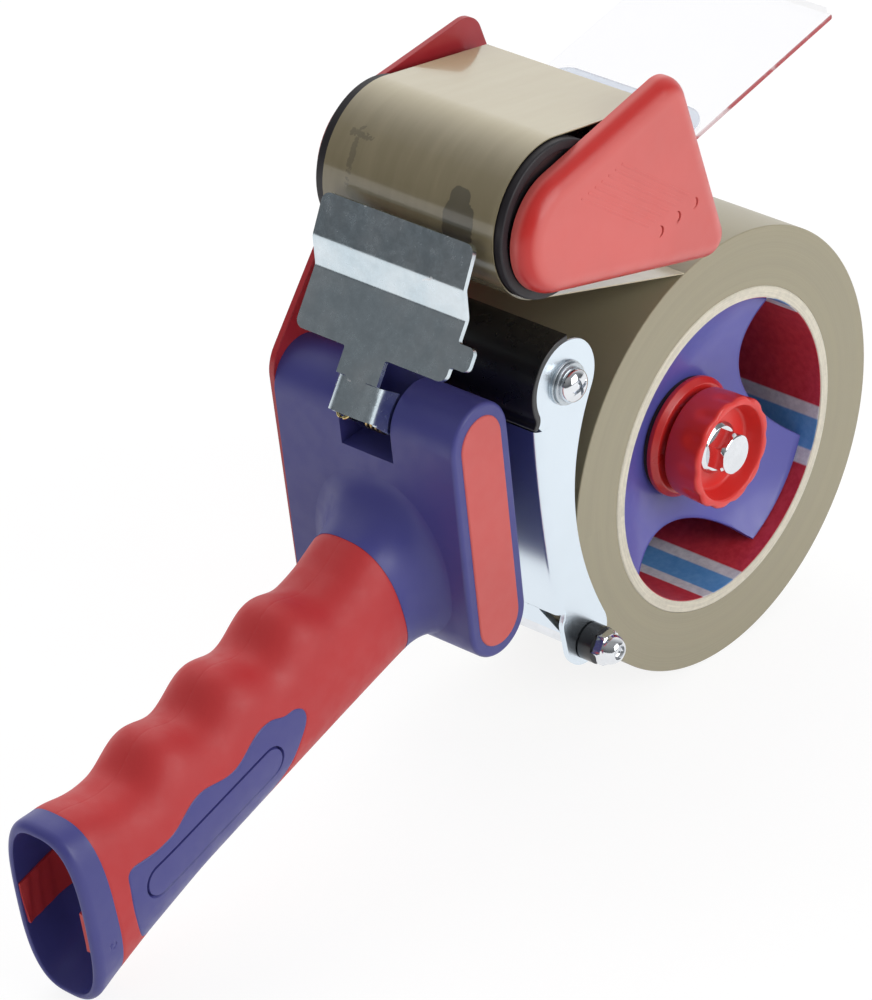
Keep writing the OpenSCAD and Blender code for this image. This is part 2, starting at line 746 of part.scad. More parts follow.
// Free run of tape: off the roll, round the roller and onto the blade
wrap_steps = 56;
module tape_strip() {
    low = polar(wrap_to);
    top = polar(wrap_from);
    turn = [for (k = [0:wrap_steps]) polar(wrap_from + (wrap_to - wrap_from) * k / wrap_steps)];
    inner = [for (p = turn) roller_c + wrap_r * p];
    outer = [for (k = [wrap_steps:-1:0]) roller_c + (wrap_r + strip_t) * turn[k]];
    color([0.64, 0.6, 0.5]) across(-edge, edge)
        polygon(concat([strip_tip], inner, [peel_c, peel_c + strip_t * low], outer,
            [strip_tip + strip_t * top]));
}

// Dished three-armed hub with a back flange
hub_wall = 2.5;
skirt_t = 2;
hub_flange_t = 2;
register_l = 8;
scallop_r = 39;
scallop_at = 61.2;
scallops = [20, -100, 140];
module hub() {
    bore = axle_tube_d / 2 + fit_run;
    rim = core_r - gap;
    seat = pad_r + 0.4;
    mid = 24;
    sag = (arm_face - hub_face) * 0.33;
    color([0.33, 0.31, 0.66]) {
        difference() {
            turned([0, 0], [[bore, hub_face], [seat, hub_face], [mid, hub_face + sag],
                [rim, arm_face], [rim, arm_face + hub_wall], [mid, hub_face + sag + hub_wall],
                [seat, hub_face + hub_wall], [bore, hub_face + hub_wall]]);
            for (a = scallops)
                bar(scallop_at * polar(a), -edge, edge, scallop_r);
        }
        ring([0, 0], edge - register_l, edge, rim - skirt_t, rim);
        ring([0, 0], hub_face + 1, edge, bore, axle_tube_d / 2 + 3);
        ring([0, 0], edge, edge + hub_flange_t, bore, core_r + core_wall + 3);
    }
}

module friction_disc() {
    color([0.2, 0.18, 0.16]) ring([0, 0], disc_face, hub_face, bolt_r + 1, pad_r);
}

module tape_core() {
    color([0.88, 0.84, 0.74]) ring([0, 0], -edge, edge, core_r, core_r + core_wall);
}

module tape_roll() {
    color([0.64, 0.6, 0.5]) ring([0, 0], -edge, edge, core_r + core_wall, roll_r);
}

module front_roller() {
    color([0.11, 0.11, 0.13])
        ring(roller_c, -roller_end, roller_end, roller_d / 2 - roller_wall, roller_d / 2);
}

// Bearing plugs in both ends of the roller tube
module roller_bushes() {
    r = roller_d / 2 - roller_wall;
    color([0.15, 0.15, 0.16]) for (m = [1, -1])
        turned(roller_c, [for (p = [[axle_d / 2 + fit_run, 8], [axle_d / 2 + 4, 8], [axle_d / 2 + 4, 3],
            [r, 3], [r, 0.4], [axle_d / 2 + fit_run, 0.4]]) [p[0], m * (roller_end - p[1])]]);
}

// Side view of the yoke's arm: two arcs joined by two curves that pass the waist
function bow(a, w, b, u) = (1 - u) * (1 - u) * a + 2 * u * (1 - u) * (2 * w - (a + b) / 2) + u * u * b;
head_turn = [183, -26];
foot_turn = [30, -165];
arm_steps = 16;
back_top = head_c + head_r * polar(head_turn[1]);
back_low = foot_c + foot_r * polar(foot_turn[0]);
front_low = foot_c + foot_r * polar(foot_turn[1]);
front_top = head_c + head_r * polar(head_turn[0]);
function back_edge(u) = bow(back_top, waist_c + [waist_r, 0], back_low, u);
function front_edge(u) = bow(front_low, waist_c - [waist_r, 0], front_top, u);
module yoke_outline() {
    inner = [for (k = [1:arm_steps - 1]) k / arm_steps];
    polygon(concat(arc(head_c, head_r, head_turn[0], head_turn[1], 40), [for (u = inner) back_edge(u)],
        arc(foot_c, foot_r, foot_turn[0], foot_turn[1], 30), [for (u = inner) front_edge(u)]));
}

// Web between the arms, along part of their front edge
web_inset = 0.2;
module yoke_web(from, to) {
    n = 14;
    row = [for (k = [0:n]) front_edge(from + (to - from) * k / n) + [web_inset, 0]];
    polygon(concat(row, [for (k = [n:-1:0]) row[k] + [yoke_t, 0]]));
}

// Zinc bracket that swings on the cross rod
web_half = arm_in + yoke_t / 2;
skirt_half = web_half - 5;
module swing_yoke() {
    color([0.82, 0.85, 0.88]) difference() {
        union() {
            for (y = [-arm_out, arm_in])
                across(y, y + yoke_t) yoke_outline();
            across(-web_half, web_half) yoke_web(0.14, 0.86);
            across(-skirt_half, skirt_half) yoke_web(0.04, 0.2);
        }
        bar(rod_c, -arm_out - over, arm_out + over, rod_d / 2 + fit_run);
        bar(head_c, -arm_out - over, arm_out + over, screw_r);
    }
}

// Room for the arm's front edge below the head
module neck_room() {
    row = [for (k = [0:8]) front_edge(0.7 + 0.3 * k / 8) - [gap, 0]];
    polygon(concat(row, [head_c, [head_c[0], row[0][1]]]));
}

// Black half shell that hugs the yoke's head
module damper_cover() {
    lip = head_c + (head_r + shell_t / 2) * polar(shell_to);
    color([0.1, 0.1, 0.11]) difference() {
        across(-arm_out - gap, arm_out + gap) {
            translate(head_c) difference() {
                intersection() {
                    circle(head_r + shell_t);
                    polygon(concat([[0, 0]], [for (k = [0:5])
                        1.4 * head_r * polar(shell_from + (shell_to - shell_from) * k / 5)]));
                }
                circle(head_r);
            }
            link(lip, shell_t / 2, lip + 2.4 * polar(shell_to - 15), shell_t / 2);
        }
        for (y = [-arm_out - gap, arm_in - gap])
            across(y - gap, y + yoke_t + 3 * gap) neck_room();
    }
}

// Axle of the damper roller, riveted flush in the far arm
module damper_axle() {
    color([0.7, 0.71, 0.73]) difference() {
        union() {
            bar(head_c, -arm_in, arm_in, rod_d / 2);
            bar(head_c, arm_in - over, arm_out, screw_r);
        }
        bar(head_c, -arm_in - over, -arm_in + 10, screw_r);
    }
}

washer_t = 1.5;
washer_r = 5.4;
module spring_washer() {
    color([0.75, 0.76, 0.78]) ring(head_c, -arm_out - washer_t, -arm_out, screw_r, washer_r);
}

// Pan-head screw with a cross recess
module damper_screw() {
    y = -arm_out - washer_t;
    color([0.85, 0.86, 0.88]) difference() {
        union() {
            bar(head_c, y, -arm_in + 9.5, screw_r);
            turned(head_c, [[0, y], [4.2, y], [4.2, y - 1.4], [3.2, y - 2.6], [1.6, y - 3.1],
                [0, y - 3.1]]);
        }
        for (a = [20, 110])
            translate([head_c[0], y - 3.1, head_c[1]]) rotate([0, a, 0]) cube([5, 3, 1], center = true);
    }
}

module damper_roller() {
    color([0.13, 0.13, 0.14])
        ring(head_c, -arm_in + 0.5, arm_in - 0.5, rod_d / 2 + fit_run, damper_d / 2);
}

// Zinc finger lever: joggled plate, ear, tab and two cheeks on the pin
module brake_lever() {
    straight = lever_bends[3] - lever_bends[2];
    cheek_top = tab_end - 9 * lever_slope;
    color([0.55, 0.57, 0.58]) difference() {
        union() {
            across(lever_near, lever_far) bent(lever_bends, lever_t);
            across(lever_near - ear_l, lever_near + over)
                bent([lever_bends[2] + 0.36 * straight, lever_bends[2] + 0.74 * straight], lever_t);
            across(slot_y - tab_w / 2, slot_y + tab_w / 2) bent([lever_bends[3], tab_end], lever_t);
            for (y = [slot_y - tab_w / 2, slot_y + tab_w / 2 - cheek_t])
                across(y, y + cheek_t)
                    belt([[lever_pivot[0], lever_pivot[1], lever_pin_d / 2 + 2],
                        [cheek_top[0], cheek_top[1], lever_t / 2], [tab_end[0], tab_end[1], lever_t / 2]]);
        }
        bar(lever_pivot, lever_near, lever_far, lever_pin_d / 2 + fit_run);
    }
}

// Red brake knob, a scalloped cup round the bolt's head
knob_wall = 2;
module brake_knob() {
    r = knob_d / 2;
    color([0.8, 0.13, 0.12]) difference() {
        turned([0, 0], [[bolt_r, spring_seat], [r - knob_wall, spring_seat], [r - knob_wall, knob_back],
            [r, knob_back], [r, knob_face], [r - 2.4, knob_face], [r - 3.4, cup_floor],
            [bolt_r, cup_floor]]);
        for (k = [0:knob_scallops - 1])
            bar((r + 1.5) * polar(360 * k / knob_scallops), knob_face - over, knob_face + 6, 2);
    }
}

// Flanged hexagon bolt that the knob turns
module hub_bolt() {
    color([0.88, 0.89, 0.9]) {
        bar([0, 0], cup_floor, bolt_end, bolt_r);
        turned([0, 0], [[0, cup_floor], [bolt_r + 2.6, cup_floor], [bolt_r + 2, cup_floor - 1.2],
            [0, cup_floor - 1.2]]);
        hexagon([0, 0], cup_floor - 5.6, cup_floor - 1, bolt_r + 1.8);
        bar([0, 0], cup_floor - 6, cup_floor - 5, bolt_r + 0.8);
    }
}

module thrust_flange() {
    r = flange_d / 2;
    color([0.78, 0.12, 0.11]) turned([0, 0], [[bolt_r, flange_back], [r, flange_back],
        [r, flange_back - 1.2], [r - 1.3, flange_face], [bolt_r, flange_face]]);
}

// Spring that presses the flange on the hub
brake_wire = 1.4;
brake_turns = 1.5;
brake_room = flange_face - spring_seat - brake_wire;
brake_coil = coil_path(knob_d / 2 - knob_wall - gap - brake_wire, spring_seat + brake_wire / 2,
    brake_room / brake_turns, brake_turns, brake_wire);
module brake_spring() {
    color([0.85, 0.86, 0.88]) coil([0, 0], brake_coil, brake_wire);
}

// Resting pose, and the least gap of each spring to itself, measured on its points
echo(rest_tilt = rest_tilt, roll_x = roll_x, roll_r = roll_r);
echo(lever_spring_gap = least_gap(lever_coil, lever_wire),
    brake_spring_gap = least_gap(brake_coil, brake_wire));

stand() side_plate();
stand() handle_core();
stand() handle_grip();
stand() grip_panels();
stand() block_inlay();
stand() handle_screws();
stand() front_axle();
stand() axle_nut();
stand() end_cover();
stand() blade_bar();
stand() cutter_blade();
stand() blade_screws();
stand() wiper_flap();
stand() flap_stiffener();
stand() flap_clamp();
stand() flap_rivets();
stand() cross_rod();
stand() rod_nut();
stand() rod_bush();
stand() cap_nut();
stand() lever_pin();
stand() lever_spring();
stand() axle_tube();
stand() hub_nut();
stand() tape_strip();
stand() hub();
stand() friction_disc();
stand() tape_core();
stand() tape_roll();
stand() front_roller();
stand() roller_bushes();
stand() swing_yoke();
stand() damper_cover();
stand() damper_axle();
stand() damper_screw();
stand() spring_washer();
stand() damper_roller();
stand() brake_lever();
stand() brake_knob();
stand() hub_bolt();
stand() thrust_flange();
stand() brake_spring();
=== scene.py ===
"""Dressed scene of a hand-held packing tape dispenser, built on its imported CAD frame."""

import logging
import math
from dataclasses import dataclass, field
from enum import Enum
from typing import Callable, Iterable, Optional, Sequence

import bmesh
import bpy
import numpy as np
from mathutils import Matrix, Vector


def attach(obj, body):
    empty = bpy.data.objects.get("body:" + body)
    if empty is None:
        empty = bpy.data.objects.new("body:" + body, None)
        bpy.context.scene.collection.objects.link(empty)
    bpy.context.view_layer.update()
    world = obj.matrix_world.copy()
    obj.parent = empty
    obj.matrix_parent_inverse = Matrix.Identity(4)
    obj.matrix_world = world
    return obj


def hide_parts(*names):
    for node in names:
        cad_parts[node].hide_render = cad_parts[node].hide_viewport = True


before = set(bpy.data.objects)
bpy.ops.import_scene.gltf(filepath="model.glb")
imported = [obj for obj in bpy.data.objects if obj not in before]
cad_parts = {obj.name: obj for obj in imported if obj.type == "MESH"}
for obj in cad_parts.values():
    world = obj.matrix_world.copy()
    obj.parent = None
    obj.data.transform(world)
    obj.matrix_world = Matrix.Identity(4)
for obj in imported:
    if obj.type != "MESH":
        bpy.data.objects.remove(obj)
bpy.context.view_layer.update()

LOG = logging.getLogger("tape_dispenser")

Pair = tuple[float, float]
Triple = tuple[float, float, float]
Colour = tuple[float, float, float, float]
Outline = list[Pair]


class Body(Enum):
    """Bodies of the frame that a piece can ride on."""

    FRAME = "frame"
    ROLL = "roll"
    FRONT_ROLLER = "front_roller"
    YOKE = "yoke"
    LEVER = "lever"
    KNOB = "knob"


class Place(Enum):
    """Axes along Y that pieces are turned or bored about, as x and z from the roll's axis in millimetres."""

    ROLL = (0.0, 0.0)
    ROLLER = (-67.5, 86.0)
    ROD = (-54.0, -27.5)
    HEAD = (-63.8, 44.2)
    LEVER_PIN = (-94.979, 38.0)


# Levels along Y that several pieces share, in millimetres
EDGE = 25.0
PLATE_IN = 28.0
COVER_BACK = -27.3
BLOCK_END = -25.5
ARM_IN = 26.2
ARM_OUT = 27.7

# Angles between which the tape lies on the front roller, in degrees
WRAP = (83.3, 255.6)

# Value of a distance mask away from its mark, in millimetres
FAR = 9.0

WHITE = (1.0, 1.0, 1.0, 1.0)


# Plane geometry


def srgb(colour: Triple) -> Colour:
    """Linear colour of a display colour of 0 to 255."""
    shares = [v / 255.0 for v in colour]
    return tuple(v / 12.92 if v <= 0.04045 else ((v + 0.055) / 1.055) ** 2.4 for v in shares) + (1.0,)


def shade(colour: Colour, factor: float) -> Colour:
    """Linear colour made darker or lighter by a factor."""
    return tuple(min(1.0, c * factor) for c in colour[:3]) + (1.0,)


def polar(degrees: float) -> Pair:
    """Unit vector at an angle from +X towards +Z."""
    return math.cos(math.radians(degrees)), math.sin(math.radians(degrees))


def along(start: Pair, direction: Pair, distance: float) -> Pair:
    """Point at a distance from a start along a direction."""
    return start[0] + direction[0] * distance, start[1] + direction[1] * distance


def between(a: Pair, b: Pair, share: float) -> Pair:
    """Point at a share of the way from one point to another."""
    return a[0] + (b[0] - a[0]) * share, a[1] + (b[1] - a[1]) * share


def triples(points: np.ndarray) -> list[Triple]:
    """Rows of an array as tuples."""
    return [tuple(p) for p in points.tolist()]


def run_along(points: np.ndarray) -> np.ndarray:
    """Distance from the first of a row of points to each of them, along the row."""
    return np.concatenate([[0.0], np.cumsum(np.linalg.norm(np.diff(points, axis=0), axis=1))])


def spread(points: np.ndarray, count: int) -> Outline:
    """Spreads a number of points evenly along a row of points that ends where it starts.

    Args:
        points: Row of points.
        count: Number of points to spread.

    Returns:
        The new points.
    """
    run = run_along(points)
    spots = np.linspace(0.0, run[-1], count + 1)[:-1]
    return list(zip(*(np.interp(spots, run, column).tolist() for column in points.T)))


def raised(spots: Iterable[tuple[Pair, float]]) -> list[Triple]:
    """Points of the side view, each put at its level along Y."""
    return [(x, y, z) for (x, z), y in spots]


def level_row(outline: Iterable[Pair], y: float) -> list[Triple]:
    """Points of the side view, all put at one level along Y."""
    return [(x, y, z) for x, z in outline]


def arc(centre: Pair, radius: float, start: float, end: float, steps: int) -> Outline:
    """Points of an arc between two angles in degrees, in a number of steps."""
    return [along(centre, polar(start + (end - start) * k / steps), radius) for k in range(steps + 1)]


def belt(circles: Sequence[Triple], step: float = 5.0) -> Outline:
    """Outline of a tight belt round circles that are listed anticlockwise.

    Args:
        circles: Centre x, centre z and radius of each circle.
        step: Largest angle between points on an arc, in degrees.

    Returns:
        The closed outline, anticlockwise.
    """
    def normal(p: Triple, q: Triple) -> float:
        """Angle of the outward normal of the run from one circle to the next.

        Args:
            p: Circle that the run leaves: centre and radius.
            q: Circle that it reaches.

        Returns:
            The direction in degrees.
        """
        gap = math.hypot(q[0] - p[0], q[1] - p[1])
        heading = math.degrees(math.atan2(q[1] - p[1], q[0] - p[0]))
        return heading - math.degrees(math.acos((p[2] - q[2]) / gap))

    points: Outline = []
    for i, circle in enumerate(circles):
        start = normal(circles[i - 1], circle)
        turn = (normal(circle, circles[(i + 1) % len(circles)]) - start) % 360.0
        points += arc(circle[:2], circle[2], start, start + turn, max(1, math.ceil(turn / step)))
    return points


def rounded(points: Sequence[Pair], radii: Sequence[float], steps: int = 6) -> Outline:
    """Rounds the corners of a closed outline.

    Args:
        points: Corners of the outline.
        radii: Radius at each corner, zero for a sharp one.
        steps: Steps along each rounding.

    Returns:
        The outline with its corners rounded.
    """
    result: Outline = []
    count = len(points)
    for i, corner in enumerate(points):
        radius = radii[i]
        before, after = np.array(points[i - 1]), np.array(points[(i + 1) % count])
        here = np.array(corner)
        a = (before - here) / np.linalg.norm(before - here)
        b = (after - here) / np.linalg.norm(after - here)
        half = math.acos(max(-1.0, min(1.0, float(a @ b)))) / 2
        if radius <= 0 or half > math.radians(89.5):
            result.append(corner)
            continue
        reach = radius / math.tan(half)
        middle = here + (a + b) / np.linalg.norm(a + b) * (radius / math.sin(half))
        start, end = here + a * reach - middle, here + b * reach - middle
        sweep = math.degrees(math.atan2(start[0] * end[1] - start[1] * end[0], float(start @ end)))
        first = math.degrees(math.atan2(start[1], start[0]))
        result += arc(tuple(middle.tolist()), radius, first, first + sweep, steps)
    return result


def dense(points: Sequence[Pair], step: float) -> Outline:
    """Adds points to the long sides of a closed outline.

    Args:
        points: Closed outline.
        step: Longest side that stays.

    Returns:
        The outline with more points.
    """
    result: Outline = []
    for i, p in enumerate(points):
        q = points[(i + 1) % len(points)]
        n = max(1, math.ceil(math.dist(p, q) / step))
        result += [between(p, q, k / n) for k in range(n)]
    return result


def stadium(middle: Pair, tilt: float, half: float, radius: float) -> Outline:
    """Anticlockwise outline of a leaning bar with round ends, by its half length and their radius."""
    foot, top = (along(middle, polar(90 + tilt), way * (half - radius)) for way in (-1, 1))
    return dense(arc(top, radius, tilt, tilt + 180, 36) + arc(foot, radius, tilt + 180, tilt + 360, 36), 3.0)


def hoop(inner: float, outer: float, y0: float, y1: float, radii: Sequence[float] = (0, 0, 0, 0)) -> Outline:
    """Profile of a turned ring, with the roundings of its four corners from the inner one at y0."""
    return rounded([(inner, y0), (outer, y0), (outer, y1), (inner, y1)], radii)


def helix(place: Pair, radius: float, y: float, pitch: float, turns: float, steps: int) -> list[Triple]:
    """Points along a coil's wire, which starts at a level along Y and rises by a pitch with each turn."""
    angles = [360 * turns * k / steps for k in range(steps + 1)]
    return raised((along(place, polar(a), radius), y + pitch * a / 360) for a in angles)


def hexagon(place: Pair, corner: float, stations: Sequence[Pair], phase: float = 0.0) -> list[list[Triple]]:
    """Rows of a hexagonal head whose corners are turned down.

    Args:
        place: Axis as x and z.
        corner: Radius of the corners before they are turned down.
        stations: Level along Y and radius of the turned surface at each row.
        phase: Angle in degrees by which the flats are turned.

    Returns:
        The rows of points.
    """
    flats = corner * math.cos(math.radians(30))
    rows = []
    for y, cone in stations:
        radii = [min(cone, flats / math.cos(math.radians((2 * k + phase) % 60 - 30))) for k in range(180)]
        rows.append(level_row((along(place, polar(2 * k), r) for k, r in enumerate(radii)), y))
    return rows


def smoothed(points: Sequence[Pair], steps: int = 5) -> Outline:
    """Draws a smooth closed curve through points.

    Args:
        points: Points that the curve passes.
        steps: Steps from one point to the next.

    Returns:
        The closed outline.
    """
    p = np.array(points)
    result: Outline = []
    for i in range(len(p)):
        a, b, c, d = p[i - 1], p[i], p[(i + 1) % len(p)], p[(i + 2) % len(p)]
        for t in (k / steps for k in range(steps)):
            spot = b + 0.5 * t * (c - a + t * (2 * a - 5 * b + 4 * c - d + t * (3 * b - a - 3 * c + d)))
            result.append((float(spot[0]), float(spot[1])))
    return result


def inset(points: Sequence[Pair], depth: float) -> Outline:
    """Moves a closed anticlockwise outline inwards.

    Args:
        points: Closed outline.
        depth: Distance inwards.

    Returns:
        The smaller outline with as many points.
    """
    if depth == 0:
        return list(points)
    p = np.array(points)
    ahead = np.roll(p, -1, axis=0) - p
    ahead /= np.maximum(np.linalg.norm(ahead, axis=1, keepdims=True), 1e-9)
    out = np.stack([ahead[:, 1], -ahead[:, 0]], axis=1)
    before = np.roll(out, 1, axis=0)
    mitre = (out + before) / np.maximum(1 + np.sum(out * before, axis=1, keepdims=True), 0.3)
    return [(float(x), float(z)) for x, z in p - mitre * depth]


@dataclass(frozen=True)
class Course:
    """Smooth course of a size through stations of rising position and their values, without overshoot."""

    stations: tuple[Pair, ...]

    def __call__(self, s: float) -> float:
        """Value at a position, held constant past the ends.

        Args:
            s: Position along the course.

        Returns:
            The value there.
        """
        x, v = zip(*self.stations)
        s = min(max(s, x[0]), x[-1])
        k = max(i for i in range(len(x) - 1) if x[i] <= s)
        rise = [(v[i + 1] - v[i]) / (x[i + 1] - x[i]) for i in range(len(x) - 1)]

        def slope(i: int) -> float:
            """Slope at a station, zero at an end or where the course turns."""
            if i == 0 or i == len(x) - 1 or rise[i - 1] * rise[i] <= 0:
                return 0.0
            return 2 * rise[i - 1] * rise[i] / (rise[i - 1] + rise[i])
        w = x[k + 1] - x[k]
        t = (s - x[k]) / w
        return ((1 + 2 * t) * (1 - t) ** 2 * v[k] + t * (1 - t) ** 2 * w * slope(k)
                + t * t * (3 - 2 * t) * v[k + 1] + t * t * (t - 1) * w * slope(k + 1))


@dataclass(frozen=True)
class Stand:
    """Sets pieces drawn about the roll's axis, in millimetres, down in the row frame, in metres."""

    # Tip of the resting pose in degrees, and place and height of the roll's axis
    tilt: float = 2.44922
    roll_x: float = 77.3961
    roll_z: float = 56.0

    def direction(self, v: Triple) -> Vector:
        """Turns a direction into the row frame."""
        c, s = polar(self.tilt)
        return Vector((v[0] * c + v[2] * s, v[1], v[2] * c - v[0] * s))

    def point(self, p: Triple) -> Vector:
        """Sets a point down in the row frame."""
        return (self.direction(p) + Vector((self.roll_x, 0.0, self.roll_z))) / 1000.0


STAND = Stand()


# Mesh work


@dataclass
class Draft:
    """Mesh of a named piece under construction, drawn in millimetres about the roll's axis."""

    name: str
    points: list[Triple] = field(default_factory=list)
    faces: list[tuple[int, ...]] = field(default_factory=list)

    def rows(self, rows: Sequence[Sequence[Triple]], ring: bool = True, loop: bool = False,
             caps: bool = False) -> "Draft":
        """Adds a skin over rows of points.

        Args:
            rows: Rows with the same number of points.
            ring: Joins the last point of a row to its first.
            loop: Joins the last row to the first.
            caps: Closes the first and the last row by a face each.

        Returns:
            The draft itself.
        """
        base, count, wide = len(self.points), len(rows), len(rows[0])
        for row in rows:
            self.points.extend(row)
        for j in range(count if loop else count - 1):
            a, b = base + j * wide, base + ((j + 1) % count) * wide
            for i in range(wide if ring else wide - 1):
                k = (i + 1) % wide
                self.faces.append((a + i, b + i, b + k, a + k))
        if caps:
            self.faces.append(tuple(base + i for i in range(wide)))
            self.faces.append(tuple(base + (count - 1) * wide + i for i in reversed(range(wide))))
        return self

    def lathe(self, place: Pair, profile: Sequence[Pair], turns: int = 144, closed: bool = True) -> "Draft":
        """Adds a body turned about an axis along Y.

        Args:
            place: Axis as x and z.
            profile: Radius and y of the profile's points.
            turns: Number of steps round the axis.
            closed: Whether the profile closes on itself.

        Returns:
            The draft itself.
        """
        spokes = [polar(360.0 * k / turns) for k in range(turns)]
        rows = [[(place[0] + r * u[0], y, place[1] + r * u[1]) for r, y in profile] for u in spokes]
        return self.rows(rows, ring=closed, loop=True)

    def slab(self, outline: Outline, y0: float, y1: float, low: float = 0.0, high: float = 0.0,
             steps: int = 4) -> "Draft":
        """Adds an outline of the side view extruded along Y with rounded rims.

        Args:
            outline: Closed anticlockwise outline in x and z.
            y0: Lower level.
            y1: Upper level.
            low: Rounding of the rim at the lower level.
            high: Rounding of the rim at the upper level.
            steps: Steps along each rounding.

        Returns:
            The draft itself.
        """
        def rim(y: float, radius: float, way: int) -> list[Pair]:
            """Levels and depths of the rounding at a rim, outwards."""
            turns = [polar(90.0 * k / steps) for k in range(steps + 1)] if radius else [(1.0, 1.0)]
            return [(y + way * radius * (1 - s), radius * (1 - c)) for c, s in turns]

        levels = rim(y0, low, 1)[::-1] + rim(y1, high, -1)
        rows = [level_row(inset(outline, depth), y) for y, depth in levels]
        return self.rows(rows, caps=True)

    def tube(self, path: Sequence[Triple], radius: float, sides: int = 12) -> "Draft":
        """Adds a round wire along a path.

        Args:
            path: Points of the wire's middle.
            radius: Radius of the wire.
            sides: Sides of its section.

        Returns:
            The draft itself.
        """
        spine = np.array(path)
        spokes = [polar(360 * i / sides) for i in range(sides)]
        rows = []
        for k in range(len(spine)):
            d = spine[min(k + 1, len(spine) - 1)] - spine[max(k - 1, 0)]
            d /= np.linalg.norm(d)
            u = np.cross(d, (0.0, 1.0, 0.0))
            u /= np.linalg.norm(u)
            v = np.cross(u, d)
            rows.append([tuple(spine[k] + radius * (c * u + s * v)) for c, s in spokes])
        return self.rows(rows, caps=True)

    def bent_sheet(self, outline: Outline, lay: Callable[[float, float], tuple[Triple, Triple]],
                   thick: float, folds: Sequence[float], creases: Sequence[float]) -> "Draft":
        """Adds a flat blank bent along a path.

        Args:
            outline: Closed outline of the blank: y across and distance along the path.
            lay: Gives the point and the normal of the bent sheet's middle for a spot on the blank.
            thick: Thickness of the sheet.
            folds: Distances along the path at which the blank is divided so that it can bend.
            creases: Levels across at which it is divided as well.

        Returns:
            The draft itself.
        """
        flat = bmesh.new()
        flat.faces.new([flat.verts.new((y, s, 0.0)) for y, s in outline])
        bmesh.ops.triangulate(flat, faces=flat.faces[:])
        cuts = [((0.0, fold, 0.0), (0.0, 1.0, 0.0)) for fold in folds]
        cuts += [((crease, 0.0, 0.0), (1.0, 0.0, 0.0)) for crease in creases]
        for spot, way in cuts:
            bmesh.ops.bisect_plane(flat, geom=flat.verts[:] + flat.edges[:] + flat.faces[:], dist=1e-5,
                                   plane_co=spot, plane_no=way)
        flat.verts.index_update()
        base, count = len(self.points), len(flat.verts)
        laid = [lay(v.co.x, v.co.y) for v in flat.verts]
        for side in (0.5, -0.5):
            self.points += [tuple(p[i] + n[i] * thick * side for i in range(3)) for p, n in laid]
        for face in flat.faces:
            ids = [base + v.index for v in face.verts]
            self.faces += [tuple(ids), tuple(i + count for i in reversed(ids))]
        for edge in flat.edges:
            if edge.is_boundary:
                a, b = (base + v.index for v in edge.verts)
                self.faces.append((a, b, b + count, a + count))
        flat.free()
        return self

    def score(self, value: Callable[[np.ndarray], np.ndarray], *levels: float) -> "Draft":
        """Adds edges along the lines where a value of the points takes given levels.

        Args:
            value: Gives the value at each of an array of points.
            levels: Levels to add edges at.

        Returns:
            The draft itself.
        """
        for level in levels:
            below, above = split(self, value(np.array(self.points)) - level, self.name, self.name)
            self.points, self.faces = below.points, below.faces
            self.join(above.faces, above.points)
        return self.weld()

    def press(self, value: Callable[[np.ndarray], np.ndarray], width: float, depth: float) -> "Draft":
        """Presses a recess into a near face.

        Args:
            value: Gives the distance of each of an array of points to the recess, negative inside.
            width: Width of its sloping wall.
            depth: Depth along Y.

        Returns:
            The draft itself.
        """
        spots = np.array(self.score(value, 0.0, -width).points)
        spots[:, 1] += depth * np.clip(-value(spots) / width, 0, 1)
        self.points = triples(spots)
        return self

    def weld(self) -> "Draft":
        """Joins points that lie on the same spot.

        Returns:
            The draft itself.
        """
        first: dict[Triple, int] = {}
        index, points = [], []
        for p in self.points:
            key = (round(p[0], 5), round(p[1], 5), round(p[2], 5))
            if key not in first:
                first[key] = len(points)
                points.append(p)
            index.append(first[key])
        self.points = points
        self.faces = [tuple(dict.fromkeys(index[i] for i in face)) for face in self.faces]
        self.faces = [face for face in self.faces if len(face) > 2]
        return self

    def join(self, faces: Sequence[tuple[int, ...]], points: Sequence[Triple]) -> None:
        """Takes in the faces and points of another draft."""
        self.faces += [tuple(len(self.points) + i for i in face) for face in faces]
        self.points += points

    def thicken(self, way: np.ndarray) -> None:
        """Closes an open skin by a copy of it that is moved inwards.

        Args:
            way: Way inwards at each point, in millimetres.
        """
        count = len(self.points)
        self.points += triples(np.array(self.points) + way)
        uses: dict[tuple[int, int], int] = {}
        for face in self.faces:
            for i, j in zip(face, face[1:] + face[:1]):
                key = (min(i, j), max(i, j))
                uses[key] = uses.get(key, 0) + 1
        back = [tuple(i + count for i in reversed(face)) for face in self.faces]
        wall = [(i, j, j + count, i + count) for (i, j), n in uses.items() if n == 1]
        self.faces += back + wall

